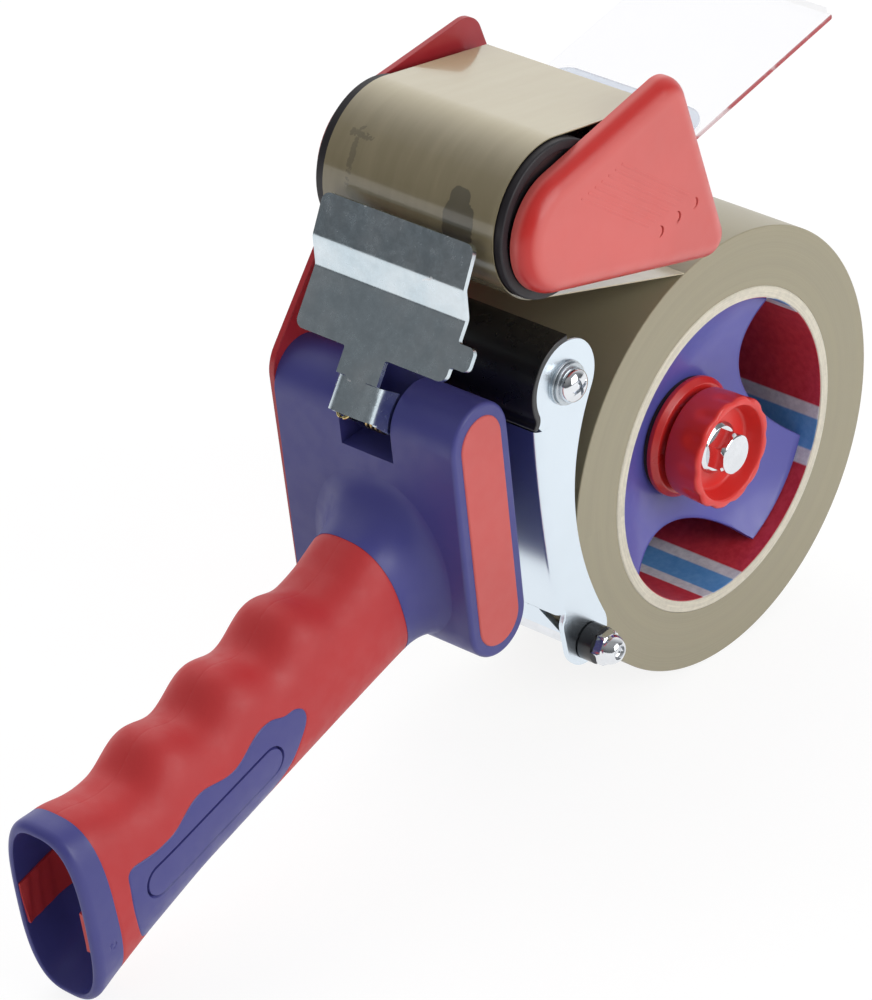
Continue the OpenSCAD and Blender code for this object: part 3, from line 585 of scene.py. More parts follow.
    def piece(self, body: Body, finish: "Finish", slot: str, hides: Sequence[str] = (),
              sharp: float = 32.0, rim: float = 0.0) -> None:
        """Turns the draft into a piece of the scene.

        Args:
            body: Body that the piece rides on.
            finish: Finish of the piece.
            slot: Material slot of the record that it belongs to; not used.
            hides: CAD nodes that the piece stands for.
            sharp: Angle in degrees from which an edge stays sharp.
            rim: Width of a bevel along sharp edges, in millimetres.
        """
        work = bmesh.new()
        verts = [work.verts.new(STAND.point(p)) for p in self.points]
        for face in self.faces:
            if len(set(face)) > 2:
                try:
                    work.faces.new([verts[i] for i in face])
                except ValueError:
                    continue
        bmesh.ops.remove_doubles(work, verts=work.verts[:], dist=2e-6)
        bmesh.ops.recalc_face_normals(work, faces=work.faces[:])
        mesh = bpy.data.meshes.new(self.name)
        work.to_mesh(mesh)
        work.free()
        mesh.polygons.foreach_set("use_smooth", [True] * len(mesh.polygons))
        mesh.set_sharp_from_angle(angle=math.radians(sharp))
        obj = bpy.data.objects.new(self.name, mesh)
        bpy.context.scene.collection.objects.link(obj)
        mesh.materials.append(finish.material())
        if rim > 0:
            bevel = obj.modifiers.new("rim", "BEVEL")
            bevel.width, bevel.segments = rim / 1000.0, 3
            bevel.limit_method, bevel.angle_limit = "ANGLE", math.radians(40.0)
        weighted = obj.modifiers.new("normals", "WEIGHTED_NORMAL")
        weighted.keep_sharp = True
        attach(obj, body.value)
        if hides:
            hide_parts(*hides)
        LOG.info("%s: %d faces on %s", self.name, len(mesh.polygons), body.value)


# Shader work

Socket = bpy.types.NodeSocket


class Weave:
    """Small builder of the shader tree of a material or of the world, its owner."""

    def __init__(self, owner: bpy.types.ID) -> None:
        """Empties the tree of a material or world.

        Args:
            owner: The material or world.
        """
        owner.use_nodes = True
        self.owner, self.tree = owner, owner.node_tree
        self.tree.nodes.clear()

    def node(self, kind: str, inputs: Optional[dict] = None, **settings: object) -> bpy.types.Node:
        """Adds a node.

        Args:
            kind: Type of the node without its prefix.
            inputs: Values or sockets for its inputs, by name or by index.
            settings: Properties of the node.

        Returns:
            The new node.
        """
        made = self.tree.nodes.new("ShaderNode" + kind)
        for key, value in settings.items():
            setattr(made, key, value)
        for key, value in (inputs or {}).items():
            if isinstance(value, Socket):
                self.tree.links.new(value, made.inputs[key])
            else:
                made.inputs[key].default_value = value
        return made

    def spot(self) -> Socket:
        """Place on the object in metres."""
        return self.node("TexCoord").outputs["Object"]

    def level(self) -> Socket:
        """Place on the object along Y, in metres."""
        return self.node("SeparateXYZ", {0: self.spot()}).outputs[1]

    def about(self, place: Place) -> tuple[Socket, Socket, Socket]:
        """Place on the object relative to an axis along Y.

        Args:
            place: The axis.

        Returns:
            Radius, angle and y as sockets, in metres and radians.
        """
        origin = tuple(STAND.point((place.value[0], 0.0, place.value[1])))
        moved = self.node("VectorMath", {0: self.spot(), 1: origin}, operation="SUBTRACT").outputs[0]
        x, y, z = self.node("SeparateXYZ", {0: moved}).outputs
        radius = self.math("SQRT", self.plus(self.times(x, x), self.times(z, z)))
        return radius, self.plus(self.math("ARCTAN2", z, x), math.radians(STAND.tilt)), y

    def math(self, operation: str, a: object, b: object = 0.0) -> Socket:
        """Result of an operation on one or two numbers."""
        return self.node("Math", {0: a, 1: b}, operation=operation).outputs[0]

    def times(self, a: object, b: object) -> Socket:
        """Product of two numbers."""
        return self.math("MULTIPLY", a, b)

    def plus(self, a: object, b: object) -> Socket:
        """Sum of two numbers."""
        return self.math("ADD", a, b)

    def most(self, a: object, b: object) -> Socket:
        """Larger of two numbers."""
        return self.math("MAXIMUM", a, b)

    def both(self, a: Socket, b: Socket, share: float) -> Socket:
        """Sum of a share of one value and the rest of another."""
        return self.plus(self.times(a, share), self.times(b, 1 - share))

    def mix(self, amount: object, a: object, b: object) -> Socket:
        """Mixes two colours by an amount."""
        return self.node("Mix", {0: amount, 6: a, 7: b}, data_type="RGBA").outputs[2]

    def noise(self, scale: float, detail: float = 3.0, rough: float = 0.5, at: Optional[Socket] = None,
              warp: float = 0.0) -> Socket:
        """Value of a noise pattern, its scale in waves to the metre."""
        return self.node("TexNoise", {"Vector": at or self.spot(), "Scale": scale, "Detail": detail,
                                      "Roughness": rough, "Distortion": warp}).outputs[0]

    def stretched(self, scale: Triple) -> Socket:
        """Place on the object with a scale of its own along each axis."""
        return self.node("Mapping", {"Vector": self.spot(), "Scale": scale}).outputs[0]

    def circles(self, radius: Socket, angle: Socket, across: float, around: float) -> Socket:
        """Place in a pattern of circles, its scales in waves to the metre and to the radian."""
        return self.node("CombineXYZ", {0: self.times(radius, across),
                                        1: self.times(angle, around)}).outputs[0]

    def band(self, value: Socket, low: float, high: float, to_low: float = 0.0,
             to_high: float = 1.0) -> Socket:
        """Maps a range of a value smoothly to another range."""
        made = self.node("MapRange", {"Value": value, 1: low, 2: high, 3: to_low, 4: to_high},
                         interpolation_type="SMOOTHSTEP")
        return made.outputs[0]

    def bump(self, height: Socket, strength: float, distance: float, edge: float = 0.0) -> Socket:
        """Bumped normal, its distance and the rounding of sharp edges in millimetres."""
        under = {"Normal": self.node("Bevel", {"Radius": edge / 1000.0}, samples=6).outputs[0]} if edge else {}
        return self.node("Bump", {"Height": height, "Strength": strength, "Distance": distance / 1000.0,
                                  **under}).outputs[0]

    def close(self, shader: bpy.types.Node) -> bpy.types.Material:
        """Ends the tree with a shader and returns the material."""
        self.node("OutputMaterial", {"Surface": shader.outputs[0]})
        return self.owner


# Finishes. Colours are display colours of 0 to 255, sizes are in millimetres and scales in waves to the metre.

_MADE: dict[str, bpy.types.Material] = {}


@dataclass(frozen=True)
class Finish:
    """Finish of a piece, a named material that is made once and shared."""

    name: str

    def material(self) -> bpy.types.Material:
        """Material of this finish, made on its first use."""
        if self.name not in _MADE:
            _MADE[self.name] = self.weave()
        return _MADE[self.name]

    def weave(self) -> bpy.types.Material:
        """Makes the material."""
        raise NotImplementedError


@dataclass(frozen=True)
class Moulded(Finish):
    """Moulded plastic, rubber or paint with a fine texture, slight blotches and paler worn edges."""

    # Fine texture and its depth, share by which the colour varies, rounding of sharp edges, weight of a gloss
    colour: Triple
    rough: float
    grain: float = 2600.0
    relief: float = 0.03
    blotch: float = 0.05
    edge: float = 0.0
    gloss: float = 0.0

    def tone(self, w: Weave) -> Socket:
        """Colour with soft blotches and paler worn edges.

        Args:
            w: Tree under construction.

        Returns:
            The colour socket.
        """
        base = srgb(self.colour)
        light = shade(base, 1 + self.blotch)
        colour = w.mix(w.band(w.noise(24.0), 0.3, 0.7), shade(base, 1 - self.blotch), light)
        worn = w.band(w.node("NewGeometry").outputs["Pointiness"], 0.52, 0.58, 0.0, 0.22)
        return w.mix(worn, colour, light)

    def weave(self) -> bpy.types.Material:
        """Makes the moulded material.

        Returns:
            The material.
        """
        w = Weave(bpy.data.materials.new(self.name))
        fine = w.noise(self.grain, 2.0)
        rough = w.band(w.noise(240.0, 4.0), 0.3, 0.7, self.rough - 0.05, self.rough + 0.07)
        normal = w.bump(fine, 0.35, self.relief, self.edge)
        return w.close(w.node("BsdfPrincipled", {
            "Base Color": self.tone(w), "Roughness": rough, "Normal": normal, "Coat Weight": self.gloss,
            "Coat Roughness": 0.12, "Specular IOR Level": 0.5}))


@dataclass(frozen=True)
class Plated(Finish):
    """Plated or bare metal with spangle, fine scratches, dull patches and an optional painted sheen."""

    # Difference and scale of the plating's patches, share of scratches, rounding of sharp edges, strength of
    # the fine ripple and share of the painted sheen: broad paler patches that stand in for light the metal
    # reflects
    colour: Triple
    rough: float
    spangle: float
    patch: float = 110.0
    scratch: float = 0.2
    edge: float = 0.0
    ripple: float = 0.15
    painted_sheen: float = 0.0

    def weave(self) -> bpy.types.Material:
        """Makes the plated material.

        Returns:
            The material.
        """
        w = Weave(bpy.data.materials.new(self.name))
        base = srgb(self.colour)
        cloud = w.noise(self.patch, 8.0, 0.78)
        colour = w.mix(w.band(cloud, 0.35, 0.65), shade(base, 1 - self.spangle), shade(base, 1 + self.spangle))
        # Painted sheen: broad paler patches mixed into the colour in place of light reflected by the metal
        painted_sheen = w.band(w.noise(70.0, 3.0, 0.6), 0.35, 0.7, 0.0, self.painted_sheen)
        colour = w.mix(painted_sheen, colour, (0.95, 0.96, 0.97, 1.0))
        lines = w.noise(1.0, 2.0, 0.5, w.stretched((900.0, 320.0, 420.0)), 0.6)
        marks = w.band(lines, 0.735, 0.76, 0.0, self.scratch)
        colour = w.mix(marks, colour, (0.9, 0.91, 0.93, 1.0))
        sleek, dull = self.rough * (1 - 3 * self.spangle), self.rough * (1 + 5 * self.spangle)
        rough = w.plus(w.band(cloud, 0.25, 0.75, sleek, dull), w.times(marks, 0.3))
        normal = w.bump(w.noise(900.0), self.ripple, 0.02, self.edge)
        return w.close(w.node("BsdfPrincipled", {
            "Base Color": colour, "Metallic": 1.0, "Roughness": rough, "Normal": normal}))


@dataclass(frozen=True)
class ShadedFlankCap(Moulded):
    """Moulded cap with painted shade: a deeper colour along its rounded flank, where shade falls."""

    # Colour of the painted shade on the flank, level of the flat face along Y and how far the flank goes back
    # from it
    flank_shade: Triple = (200, 44, 40)
    face: float = -32.8
    width: float = 4.8

    def tone(self, w: Weave) -> Socket:
        """Colour of the cap with painted shade along its flank.

        Args:
            w: Tree under construction.

        Returns:
            The colour socket.
        """
        y = w.level()
        front, back = self.face / 1000.0, (self.face + self.width) / 1000.0
        # Painted shade from just behind the flat face back along the flank; it eases off near the back, leaving
        # a paler strip as painted light bounced from the tape
        begins = w.band(y, front + 0.0001, front + 0.0013)
        ends = w.band(y, back - 0.002, back - 0.0006, 1.0, 0.1)
        return w.mix(w.times(begins, ends), super().tone(w), srgb(self.flank_shade))


@dataclass(frozen=True)
class WoundTape(Finish):
    """Side of a wound roll, in fine circles that differ a little."""

    colour: Triple = (160, 152, 127)
    rough: float = 0.36

    def weave(self) -> bpy.types.Material:
        """Makes the wound material.

        Returns:
            The material.
        """
        w = Weave(bpy.data.materials.new(self.name))
        base = srgb(self.colour)
        radius, angle, _ = w.about(Place.ROLL)
        rings = w.noise(1.0, 4.0, 0.7, w.circles(radius, angle, 5200.0, 0.35))
        wide = w.noise(1.0, 2.0, 0.5, w.circles(radius, angle, 420.0, 0.6))
        colour = w.mix(w.band(w.both(rings, wide, 0.6), 0.34, 0.66), shade(base, 0.94), shade(base, 1.05))
        normal = w.bump(rings, 0.2, 0.03)
        rough = w.band(wide, 0.3, 0.7, self.rough - 0.06, self.rough + 0.08)
        return w.close(w.node("BsdfPrincipled", {
            "Base Color": colour, "Roughness": rough, "Normal": normal, "Subsurface Weight": 0.06,
            "Subsurface Radius": (0.004, 0.003, 0.002), "Subsurface Scale": 0.4, "Coat Weight": 0.15,
            "Coat Roughness": 0.2}))


@dataclass(frozen=True)
class FreeTape(Finish):
    """Free run of tape on the roller, glossy, with darker places where the glue has wetted and a painted
    highlight over the upper half of the wrap.
    """

    # Colours on the roller, off it, of the wetted places and of the pale streaks on the roller and off it, the
    # colour off the roller also serving as the painted highlight on the wrap; wetted marks by place and half
    # size, in degrees round the roller and millimetres along it
    colour: Triple = (130, 120, 94)
    free: Triple = (185, 173, 141)
    wet: Triple = (74, 71, 62)
    streaks: tuple[Triple, Triple] = ((178, 166, 136), (196, 186, 156))
    blob: tuple[tuple[Pair, Pair], ...] = (((174.0, -14.7), (17.0, 4.3)), ((159.0, -14.3), (10.0, 2.8)))
    smear: tuple[tuple[Pair, Pair], ...] = (((155.0, 17.8), (22.0, 0.8)), ((139.0, 17.4), (2.6, 3.2)))

    def mark(self, w: Weave, at: Pair, size: Pair, ragged: float) -> Socket:
        """Mask of one wetted mark.

        Args:
            w: Tree under construction.
            at: Angle in degrees round the roller and y in millimetres.
            size: Half height in degrees and half width in millimetres.
            ragged: How ragged its border is.

        Returns:
            The mask, one inside the mark.
        """
        _, angle, y = w.about(Place.ROLLER)
        middle = w.math("WRAP", w.math("SUBTRACT", angle, math.radians(at[0])), math.pi)
        middle.node.inputs[2].default_value = -math.pi
        up = w.math("ABSOLUTE", w.math("DIVIDE", middle, math.radians(size[0])))
        off = w.math("SUBTRACT", y, at[1] / 1000.0)
        across = w.math("ABSOLUTE", w.math("DIVIDE", off, size[1] / 1000.0))
        far = w.plus(w.math("POWER", up, 3.0), w.math("POWER", across, 3.0))
        rough = w.times(w.math("SUBTRACT", w.noise(520.0, 5.0, 0.7, warp=0.6), 0.5), ragged)
        return w.band(w.plus(far, rough), 0.92, 1.08, 1.0, 0.0)

    def weave(self) -> bpy.types.Material:
        """Makes the tape material.

        Returns:
            The material.
        """
        w = Weave(bpy.data.materials.new(self.name))
        _, angle, _ = w.about(Place.ROLLER)
        middle = math.radians(sum(WRAP) / 2)
        half = math.cos(math.radians((WRAP[1] - WRAP[0]) / 2))
        swing = w.math("SUBTRACT", angle, middle)
        facing = w.math("COSINE", swing)
        under = w.band(w.math("SINE", swing), -0.05, 0.05)
        # Painted highlight: over the upper half of the wrap the tape fades from its darker colour on the roller
        # to the paler free colour towards the top, by how it faces; the lower half keeps the darker colour
        above = w.times(w.band(facing, 0.05, 0.84), w.math("SUBTRACT", 1.0, under))
        below = w.times(w.band(facing, half - 0.03, half + 0.03), under)
        wound = w.plus(above, below)
        streak = w.noise(1.0, 3.0, 0.5, w.stretched((40.0, 260.0, 40.0)))
        film = w.mix(w.band(streak, 0.35, 0.75, 0.0, 0.14), srgb(self.colour), srgb(self.streaks[0]))
        blob = w.most(*(self.mark(w, at, size, 1.2) for at, size in self.blob))
        smear = w.most(*(self.mark(w, at, size, 9.0) for at, size in self.smear))
        specks = w.band(w.noise(130.0, 6.0, 0.7, warp=0.5), 0.66, 0.72, 0.0, 0.35)
        wet = w.most(w.most(blob, w.times(smear, 0.6)), specks)
        film = w.mix(w.times(wet, 0.72), film, srgb(self.wet))
        pale = w.mix(w.band(streak, 0.3, 0.8, 0.0, 0.3), srgb(self.free), srgb(self.streaks[1]))
        # Tape on the roller takes the darker colour, with the painted highlight over the upper half of the
        # wrap; the free run takes the paler colour
        colour = w.mix(wound, pale, film)
        rough = w.band(w.noise(300.0), 0.3, 0.7, 0.14, 0.22)
        ripple = w.bump(w.noise(1.0, 2.0, 0.5, w.stretched((30.0, 120.0, 30.0))), 0.2, 0.1)
        return w.close(w.node("BsdfPrincipled", {
            "Base Color": colour, "Roughness": rough, "Normal": ripple, "Coat Weight": 0.6,
            "Coat Roughness": 0.06, "Specular IOR Level": 0.55}))


@dataclass(frozen=True)
class Cardboard(Finish):
    """Cardboard core: a fibrous cut edge."""

    colour: Triple = (232, 225, 207)

    def weave(self) -> bpy.types.Material:
        """Makes the board material.

        Returns:
            The material.
        """
        w = Weave(bpy.data.materials.new(self.name))
        radius, angle, _ = w.about(Place.ROLL)
        plies = w.noise(1.0, 3.0, 0.6, w.circles(radius, angle, 2600.0, 3.0))
        mixed = w.both(plies, w.noise(700.0, 5.0, 0.7), 0.6)
        base = srgb(self.colour)
        colour = w.mix(w.band(mixed, 0.36, 0.64), shade(base, 0.8), base)
        return w.close(w.node("BsdfPrincipled", {
            "Base Color": colour, "Roughness": 0.85, "Normal": w.bump(mixed, 0.5, 0.12),
            "Sheen Weight": 0.15}))


@dataclass(frozen=True)
class CoreLiner(Finish):
    """Paper lining of the core in plain bands of colour along its axis."""

    # Repeats round the core, the angle at which they start going down, the shares of a repeat at which the blue
    # band starts and ends and the red one starts, and a darker and a lighter tone of each colour
    repeats: int = 5
    start: float = -5.5
    blue: Pair = (0.065, 0.232)
    red: float = 0.315
    papers: tuple[Triple, Triple] = ((216, 216, 222), (236, 236, 240))
    blues: tuple[Triple, Triple] = ((88, 156, 220), (112, 174, 230))
    reds: tuple[Triple, Triple] = ((204, 48, 60), (220, 66, 76))

    def weave(self) -> bpy.types.Material:
        """Makes the lining material.

        Returns:
            The material.
        """
        w = Weave(bpy.data.materials.new(self.name))
        _, angle, _ = w.about(Place.ROLL)
        turn = w.math("SUBTRACT", math.radians(self.start) + 4 * math.pi, angle)
        wave = w.math("FRACT", w.times(turn, self.repeats / (2 * math.pi)))
        fibre = w.noise(520.0, 4.0, 0.6)
        paper = w.mix(w.band(fibre, 0.35, 0.65), *(srgb(c) for c in self.papers))
        red = w.mix(w.band(fibre, 0.3, 0.7), *(srgb(c) for c in self.reds))
        blue = w.mix(w.band(fibre, 0.3, 0.7), *(srgb(c) for c in self.blues))
        soft = 0.006
        first = w.times(w.band(wave, self.blue[0] - soft, self.blue[0] + soft),
                       w.band(wave, self.blue[1] - soft, self.blue[1] + soft, 1.0, 0.0))
        second = w.times(w.band(wave, self.red - soft, self.red + soft),
                        w.band(wave, 1 - 2 * soft, 1.0, 1.0, 0.0))
        colour = w.mix(second, w.mix(first, paper, blue), red)
        return w.close(w.node("BsdfPrincipled", {
            "Base Color": colour, "Roughness": 0.4, "Normal": w.bump(fibre, 0.3, 0.04), "Coat Weight": 0.2,
            "Coat Roughness": 0.25}))


@dataclass(frozen=True)
class ClearSheet(Finish):
    """Clear or tinted springy film."""

    # Colours seen through the film and of its own haze, shares of haze and mirror gloss, and the colour of a
    # line along the near edge, if it has one, with the level at which it ends
    tint: Triple
    body: Triple = (200, 210, 232)
    haze: float = 0.004
    gloss: float = 0.006
    edge: Optional[Triple] = None
    edge_y: float = -24.0

    def weave(self) -> bpy.types.Material:
        """Makes the film material.

        Returns:
            The material.
        """
        w = Weave(bpy.data.materials.new(self.name))
        through = w.node("BsdfTransparent", {"Color": srgb(self.tint)})
        cloud = w.noise(70.0, 4.0, 0.6)
        colour = w.mix(cloud, srgb(self.body), srgb(self.tint))
        rubbed = w.noise(1.0, 4.0, 0.7, w.stretched((300.0, 2400.0, 300.0)))
        share = w.plus(w.band(rubbed, 0.5, 0.8, 0.0, 0.012), self.haze)
        if self.edge is not None:
            line = w.band(w.level(), (self.edge_y - 0.25) / 1000.0, self.edge_y / 1000.0, 1.0, 0.0)
            worn = w.band(w.noise(90.0, 3.0, 0.6), 0.36, 0.5, 0.35, 1.0)
            colour = w.mix(line, colour, srgb(self.edge))
            share = w.most(share, w.times(line, w.times(worn, 0.9)))
        haze = w.node("BsdfPrincipled", {"Base Color": colour, "Roughness": 0.25})
        body = w.node("MixShader", {0: share, 1: through.outputs[0], 2: haze.outputs[0]})
        mirror = w.node("BsdfGlossy", {"Roughness": 0.08})
        rim = w.node("LayerWeight", {"Blend": 0.25}).outputs["Fresnel"]
        gloss = w.plus(w.times(rim, 0.1), self.gloss)
        return w.close(w.node("MixShader", {0: gloss, 1: body.outputs[0], 2: mirror.outputs[0]}))


class Coat:
    """Finishes of the dispenser."""

    PLATE = Moulded("plate_paint", colour=(173, 43, 50), rough=0.34, grain=700.0, relief=0.02, edge=0.35)
    HANDLE = Moulded("handle_plastic", colour=(68, 68, 136), rough=0.42, relief=0.035)
    GRIP = Moulded("grip_rubber", colour=(190, 50, 52), rough=0.52, grain=1900.0, relief=0.05)
    INLAY = Moulded("inlay_rubber", colour=(208, 92, 88), rough=0.5, grain=1900.0, relief=0.05)
    # The cover's flank carries painted shade
    COVER = ShadedFlankCap("cover_plastic", colour=(217, 99, 94), rough=0.36, relief=0.02, gloss=0.12)
    KNOB = Moulded("knob_plastic", colour=(226, 52, 47), rough=0.34, relief=0.01, gloss=0.15)
    FLANGE = Moulded("flange_plastic", colour=(214, 44, 40), rough=0.32, relief=0.01, gloss=0.2)
    HUB = Moulded("hub_plastic", colour=(94, 95, 180), rough=0.34, gloss=0.2)
    BLACK = Moulded("black_plastic", colour=(24, 24, 27), rough=0.3, relief=0.01, gloss=0.3)
    ROLLER = Moulded("roller_rubber", colour=(26, 22, 28), rough=0.5)
    PAD = Moulded("friction_pad", colour=(58, 50, 44), rough=0.8, relief=0.06)
    ZINC = Plated("zinc", colour=(196, 203, 208), rough=0.28, spangle=0.12, patch=300.0, edge=0.25)
    CHROME = Plated("chrome", colour=(228, 231, 235), rough=0.12, spangle=0.04, scratch=0.06)
    YOKE = Plated("yoke_zinc", colour=(224, 235, 244), rough=0.24, spangle=0.015, patch=30.0, scratch=0.0,
                  ripple=0.02)
    # The lever carries a painted sheen in place of the light its faces reflect
    LEVER = Plated("lever_zinc", colour=(200, 214, 222), rough=0.22, spangle=0.07, patch=300.0, scratch=0.7,
                   ripple=0.04, painted_sheen=0.3)
    BLADE = Plated("blade_steel", colour=(205, 208, 212), rough=0.2, spangle=0.08, scratch=0.3, edge=0.1)
    SPRING = Plated("spring_wire", colour=(206, 186, 128), rough=0.2, spangle=0.08)
    TAPE = FreeTape("tape_film")
    ROLL = WoundTape("wound_tape")
    CORE = Cardboard("core_board")
    LINER = CoreLiner("core_liner")
    FLAP = ClearSheet("flap_film", tint=(254, 254, 255), edge=(186, 58, 64))
    STIFFENER = ClearSheet("stiffener_film", tint=(246, 249, 253), body=(224, 232, 247), haze=0.3,
                           gloss=0.02)


def dress(finish: Finish, *names: str) -> None:
    """Gives CAD nodes a finish in all their material slots.

    Args:
        finish: Finish to give.
        names: Nodes to dress.
    """
    for name in names:
        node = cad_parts[name]
        if not node.data.materials:
            node.data.materials.append(finish.material())
        for place in node.material_slots:
            place.link = "OBJECT"
            place.material = finish.material()
        LOG.info("%s: dressed in %s", name, finish.name)


# Sub-assemblies. Sizes are in millimetres and angles in degrees. A name ends in _h for a height, _w for a
# width, _l for a length, _d for a depth, _t for a thickness, _r for a radius and _y for a level along Y.


@dataclass
class Handle:
    """Block, neck, hollow tube, soft grip and side panels."""

    # Middle of the open end, slope, end of the grip, length of the bare rim and points round a section
    end: Pair = (-205.785, -40.677)
    angle: float = 19.7
    grip_end: float = 109.0
    rim: float = 8.0
    sides: int = 144
    # Block, and the lever's slot in it with the wall that stays behind
    block: Pair = (-87.594, 14.666)
    block_h: float = 68.0
    block_t: float = 19.2
    block_tilt: float = 8.0
    slot_w: float = 15.5
    slot_y: float = 0.75
    slot_d: float = 16.6
    slot_back: float = 5.0
    # Grip, the spread of the neck's fillet, and the pattern of the finger grooves
    grip_t: float = 2.0
    flare_top: float = 9.5
    flare_side: float = 9.0
    finger_pitch: float = 22.3
    finger_depth: float = 4.2
    first_finger: float = 16.0
    # Courses over the distance from the open end: depth of the last groove, half height, flatness of the
    # underside, half width, exponent and angle of the section, rise of the crests, drop of the tube, its wall
    fade: Course = Course(((94.05, 4.2), (100, 3.5), (105, 1.9), (109, 0.8)))
    half_h: Course = Course(((0, 24.4), (8, 22.7), (20, 20.7), (38, 19.8), (106, 18.6)))
    belly: Course = Course(((8, 0), (40, 1), (106, 1)))
    half_w: Course = Course(((0, 12.2), (8, 12.2), (30, 12.8)))
    squareness: Course = Course(((0, 0.69), (40, 0.8), (106, 0.8), (128, 0.6)))
    lean: Course = Course(((0, 10.6), (25, 19.7), (106, 19.7), (128, 8.0)))
    ridge: Course = Course(((8, 0), (38.3, 1), (82.9, 1), (106, 0)))
    dip: Course = Course(((8, 0), (20.25, 3.2)))
    wall: Course = Course(((0, 2.2), (10, 2.2), (20, 4.2)))
    # Edges of the strips in the mouth, half height and end radius of the block's strip, ends and radius of the
    # panels' groove loop, and the pin mark on the rim with its radius and half the width of its line
    strip: Pair = (-7.6, 4.0)
    inlay: Pair = (31.0, 6.8)
    loop: tuple[Pair, Pair] = ((21.8, -3.7), (60.0, -3.8))
    loop_r: float = 4.2
    pin: Pair = (4.2, -8.0)
    pin_r: float = 0.9
    pin_w: float = 0.35

    def section(self, s: float, up: float, down: float, wide: float) -> list[Triple]:
        """One closed section with points spread evenly along it.

        Args:
            s: Distance from the open end.
            up: Half height upwards.
            down: Half height downwards.
            wide: Half width.

        Returns:
            The points of the section.
        """
        c = along(self.end, polar(self.angle), s)
        n = polar(90 + self.lean(s))
        e = self.squareness(s)
        a = np.linspace(0.0, 2 * math.pi, 721)
        v = np.sign(np.sin(a)) * np.abs(np.sin(a)) ** e
        v = np.where(v > 0, v * up, v * down)
        y = np.sign(np.cos(a)) * np.abs(np.cos(a)) ** e * wide
        return raised((along(c, n, q), p) for q, p in spread(np.stack([v, y], axis=1), self.sides))

    def hard(self, s: float, depth: float, dip: float = 0.0) -> list[Triple]:
        """Section of the hard tube at a depth below the skin, lowered at its top by a dip."""
        h = self.half_h(s) - depth
        return self.section(s, h - dip, h - self.belly(s), self.half_w(s) - depth)

    def furrow(self, s: float) -> float:
        """Depth of the finger grooves, of which the first starts at the rim and the last fades out.

        Args:
            s: Distance from the open end.

        Returns:
            The depth there.
        """
        first = self.first_finger + self.finger_pitch / 2
        if s > self.first_finger + 3.5 * self.finger_pitch:
            return self.fade(s)
        turn = 360 * (s - self.first_finger) / self.finger_pitch
        if s < first:
            turn = 180 * (s - self.rim) / (first - self.rim)
        return self.finger_depth * (0.5 - 0.5 * polar(turn)[0])

    def gripped(self, s: float) -> list[Triple]:
        """Section of the soft grip with its finger grooves, tucked in at both ends.

        Args:
            s: Distance from the open end.

        Returns:
            The points of the section.
        """
        depth, length = 0.12, 0.5
        tuck = depth * max(0.0, 1 - min(s - self.rim, self.grip_end - s) / length) ** 2
        h = self.half_h(s) - tuck
        return self.section(s, h + self.ridge(s) - self.furrow(s), h - self.belly(s), self.half_w(s) - tuck)

    def neck(self, steps: int) -> list[list[Triple]]:
        """Rows of the neck, a fillet that runs out on the block's front face.

        Args:
            steps: Rows along the fillet.

        Returns:
            The rows from the grip to the face.
        """
        s, h = self.grip_end, self.half_h(self.grip_end)
        start = np.array(self.section(s, h - self.furrow(s), h - self.belly(s), self.half_w(s)))
        ahead, up, out = polar(self.angle), self.up(), polar(self.block_tilt)
        axis = np.array((ahead[0], 0.0, ahead[1]))
        sunk, r = 0.1, self.block_t / 2
        face = along(self.block, out, sunk - r)
        gap = (face[0] - start[:, 0]) * out[0] + (face[1] - start[:, 2]) * out[1]
        foot = start + (gap / (ahead[0] * out[0] + ahead[1] * out[1]))[:, None] * axis
        level = (foot[:, 0] - self.block[0]) * up[0] + (foot[:, 2] - self.block[1]) * up[1]
        past = np.clip(np.abs(level) - self.block_h / 2 + r, 0, r)
        foot += (r - np.sqrt(r * r - past * past))[:, None] * axis
        middle = foot.mean(axis=0)
        rise = (foot[:, 0] - middle[0]) * up[0] + (foot[:, 2] - middle[2]) * up[1]
        wide = foot[:, 1] / self.half_w(s)
        high = rise / np.max(np.abs(rise))
        flare_up = np.where(high > 0, self.flare_top * np.abs(high) ** 1.5, 0.0)
        flare_side = self.flare_side * np.sign(wide) * np.abs(wide) ** 1.5
        flare_side *= np.where(high < 0, 1 - 0.5 * high ** 2, 1.0)
        flare = np.stack([flare_up * up[0], flare_side, flare_up * up[1]], axis=1)
        turns = [polar(90.0 * k / steps) for k in range(steps + 1)]
        return [triples(foot + (start - foot) * (1 - d) + flare * (1 - c)) for c, d in turns]

    def up(self) -> Pair:
        """Direction up the leaning block."""
        return polar(90 + self.block_tilt)

    def notched(self) -> Outline:
        """Side view of the block with the lever's slot cut from it, anticlockwise.

        Returns:
            The closed outline.
        """
        side, r = self.block_tilt, self.block_t / 2
        reach = self.block_h / 2 - r
        foot, top = along(self.block, self.up(), -reach), along(self.block, self.up(), reach)
        floor = along(self.block, self.up(), self.block_h / 2 - self.slot_d)
        front, back = along(floor, polar(side + 180), r), along(floor, polar(side), r - self.slot_back)
        out = polar(side)
        crown = [p for p in arc(top, r, side, side + 180, 72)
                 if (p[0] - back[0]) * out[0] + (p[1] - back[1]) * out[1] >= 0]
        return dense(crown + [back, front] + arc(foot, r, side + 180, side + 360, 36), 3.0)

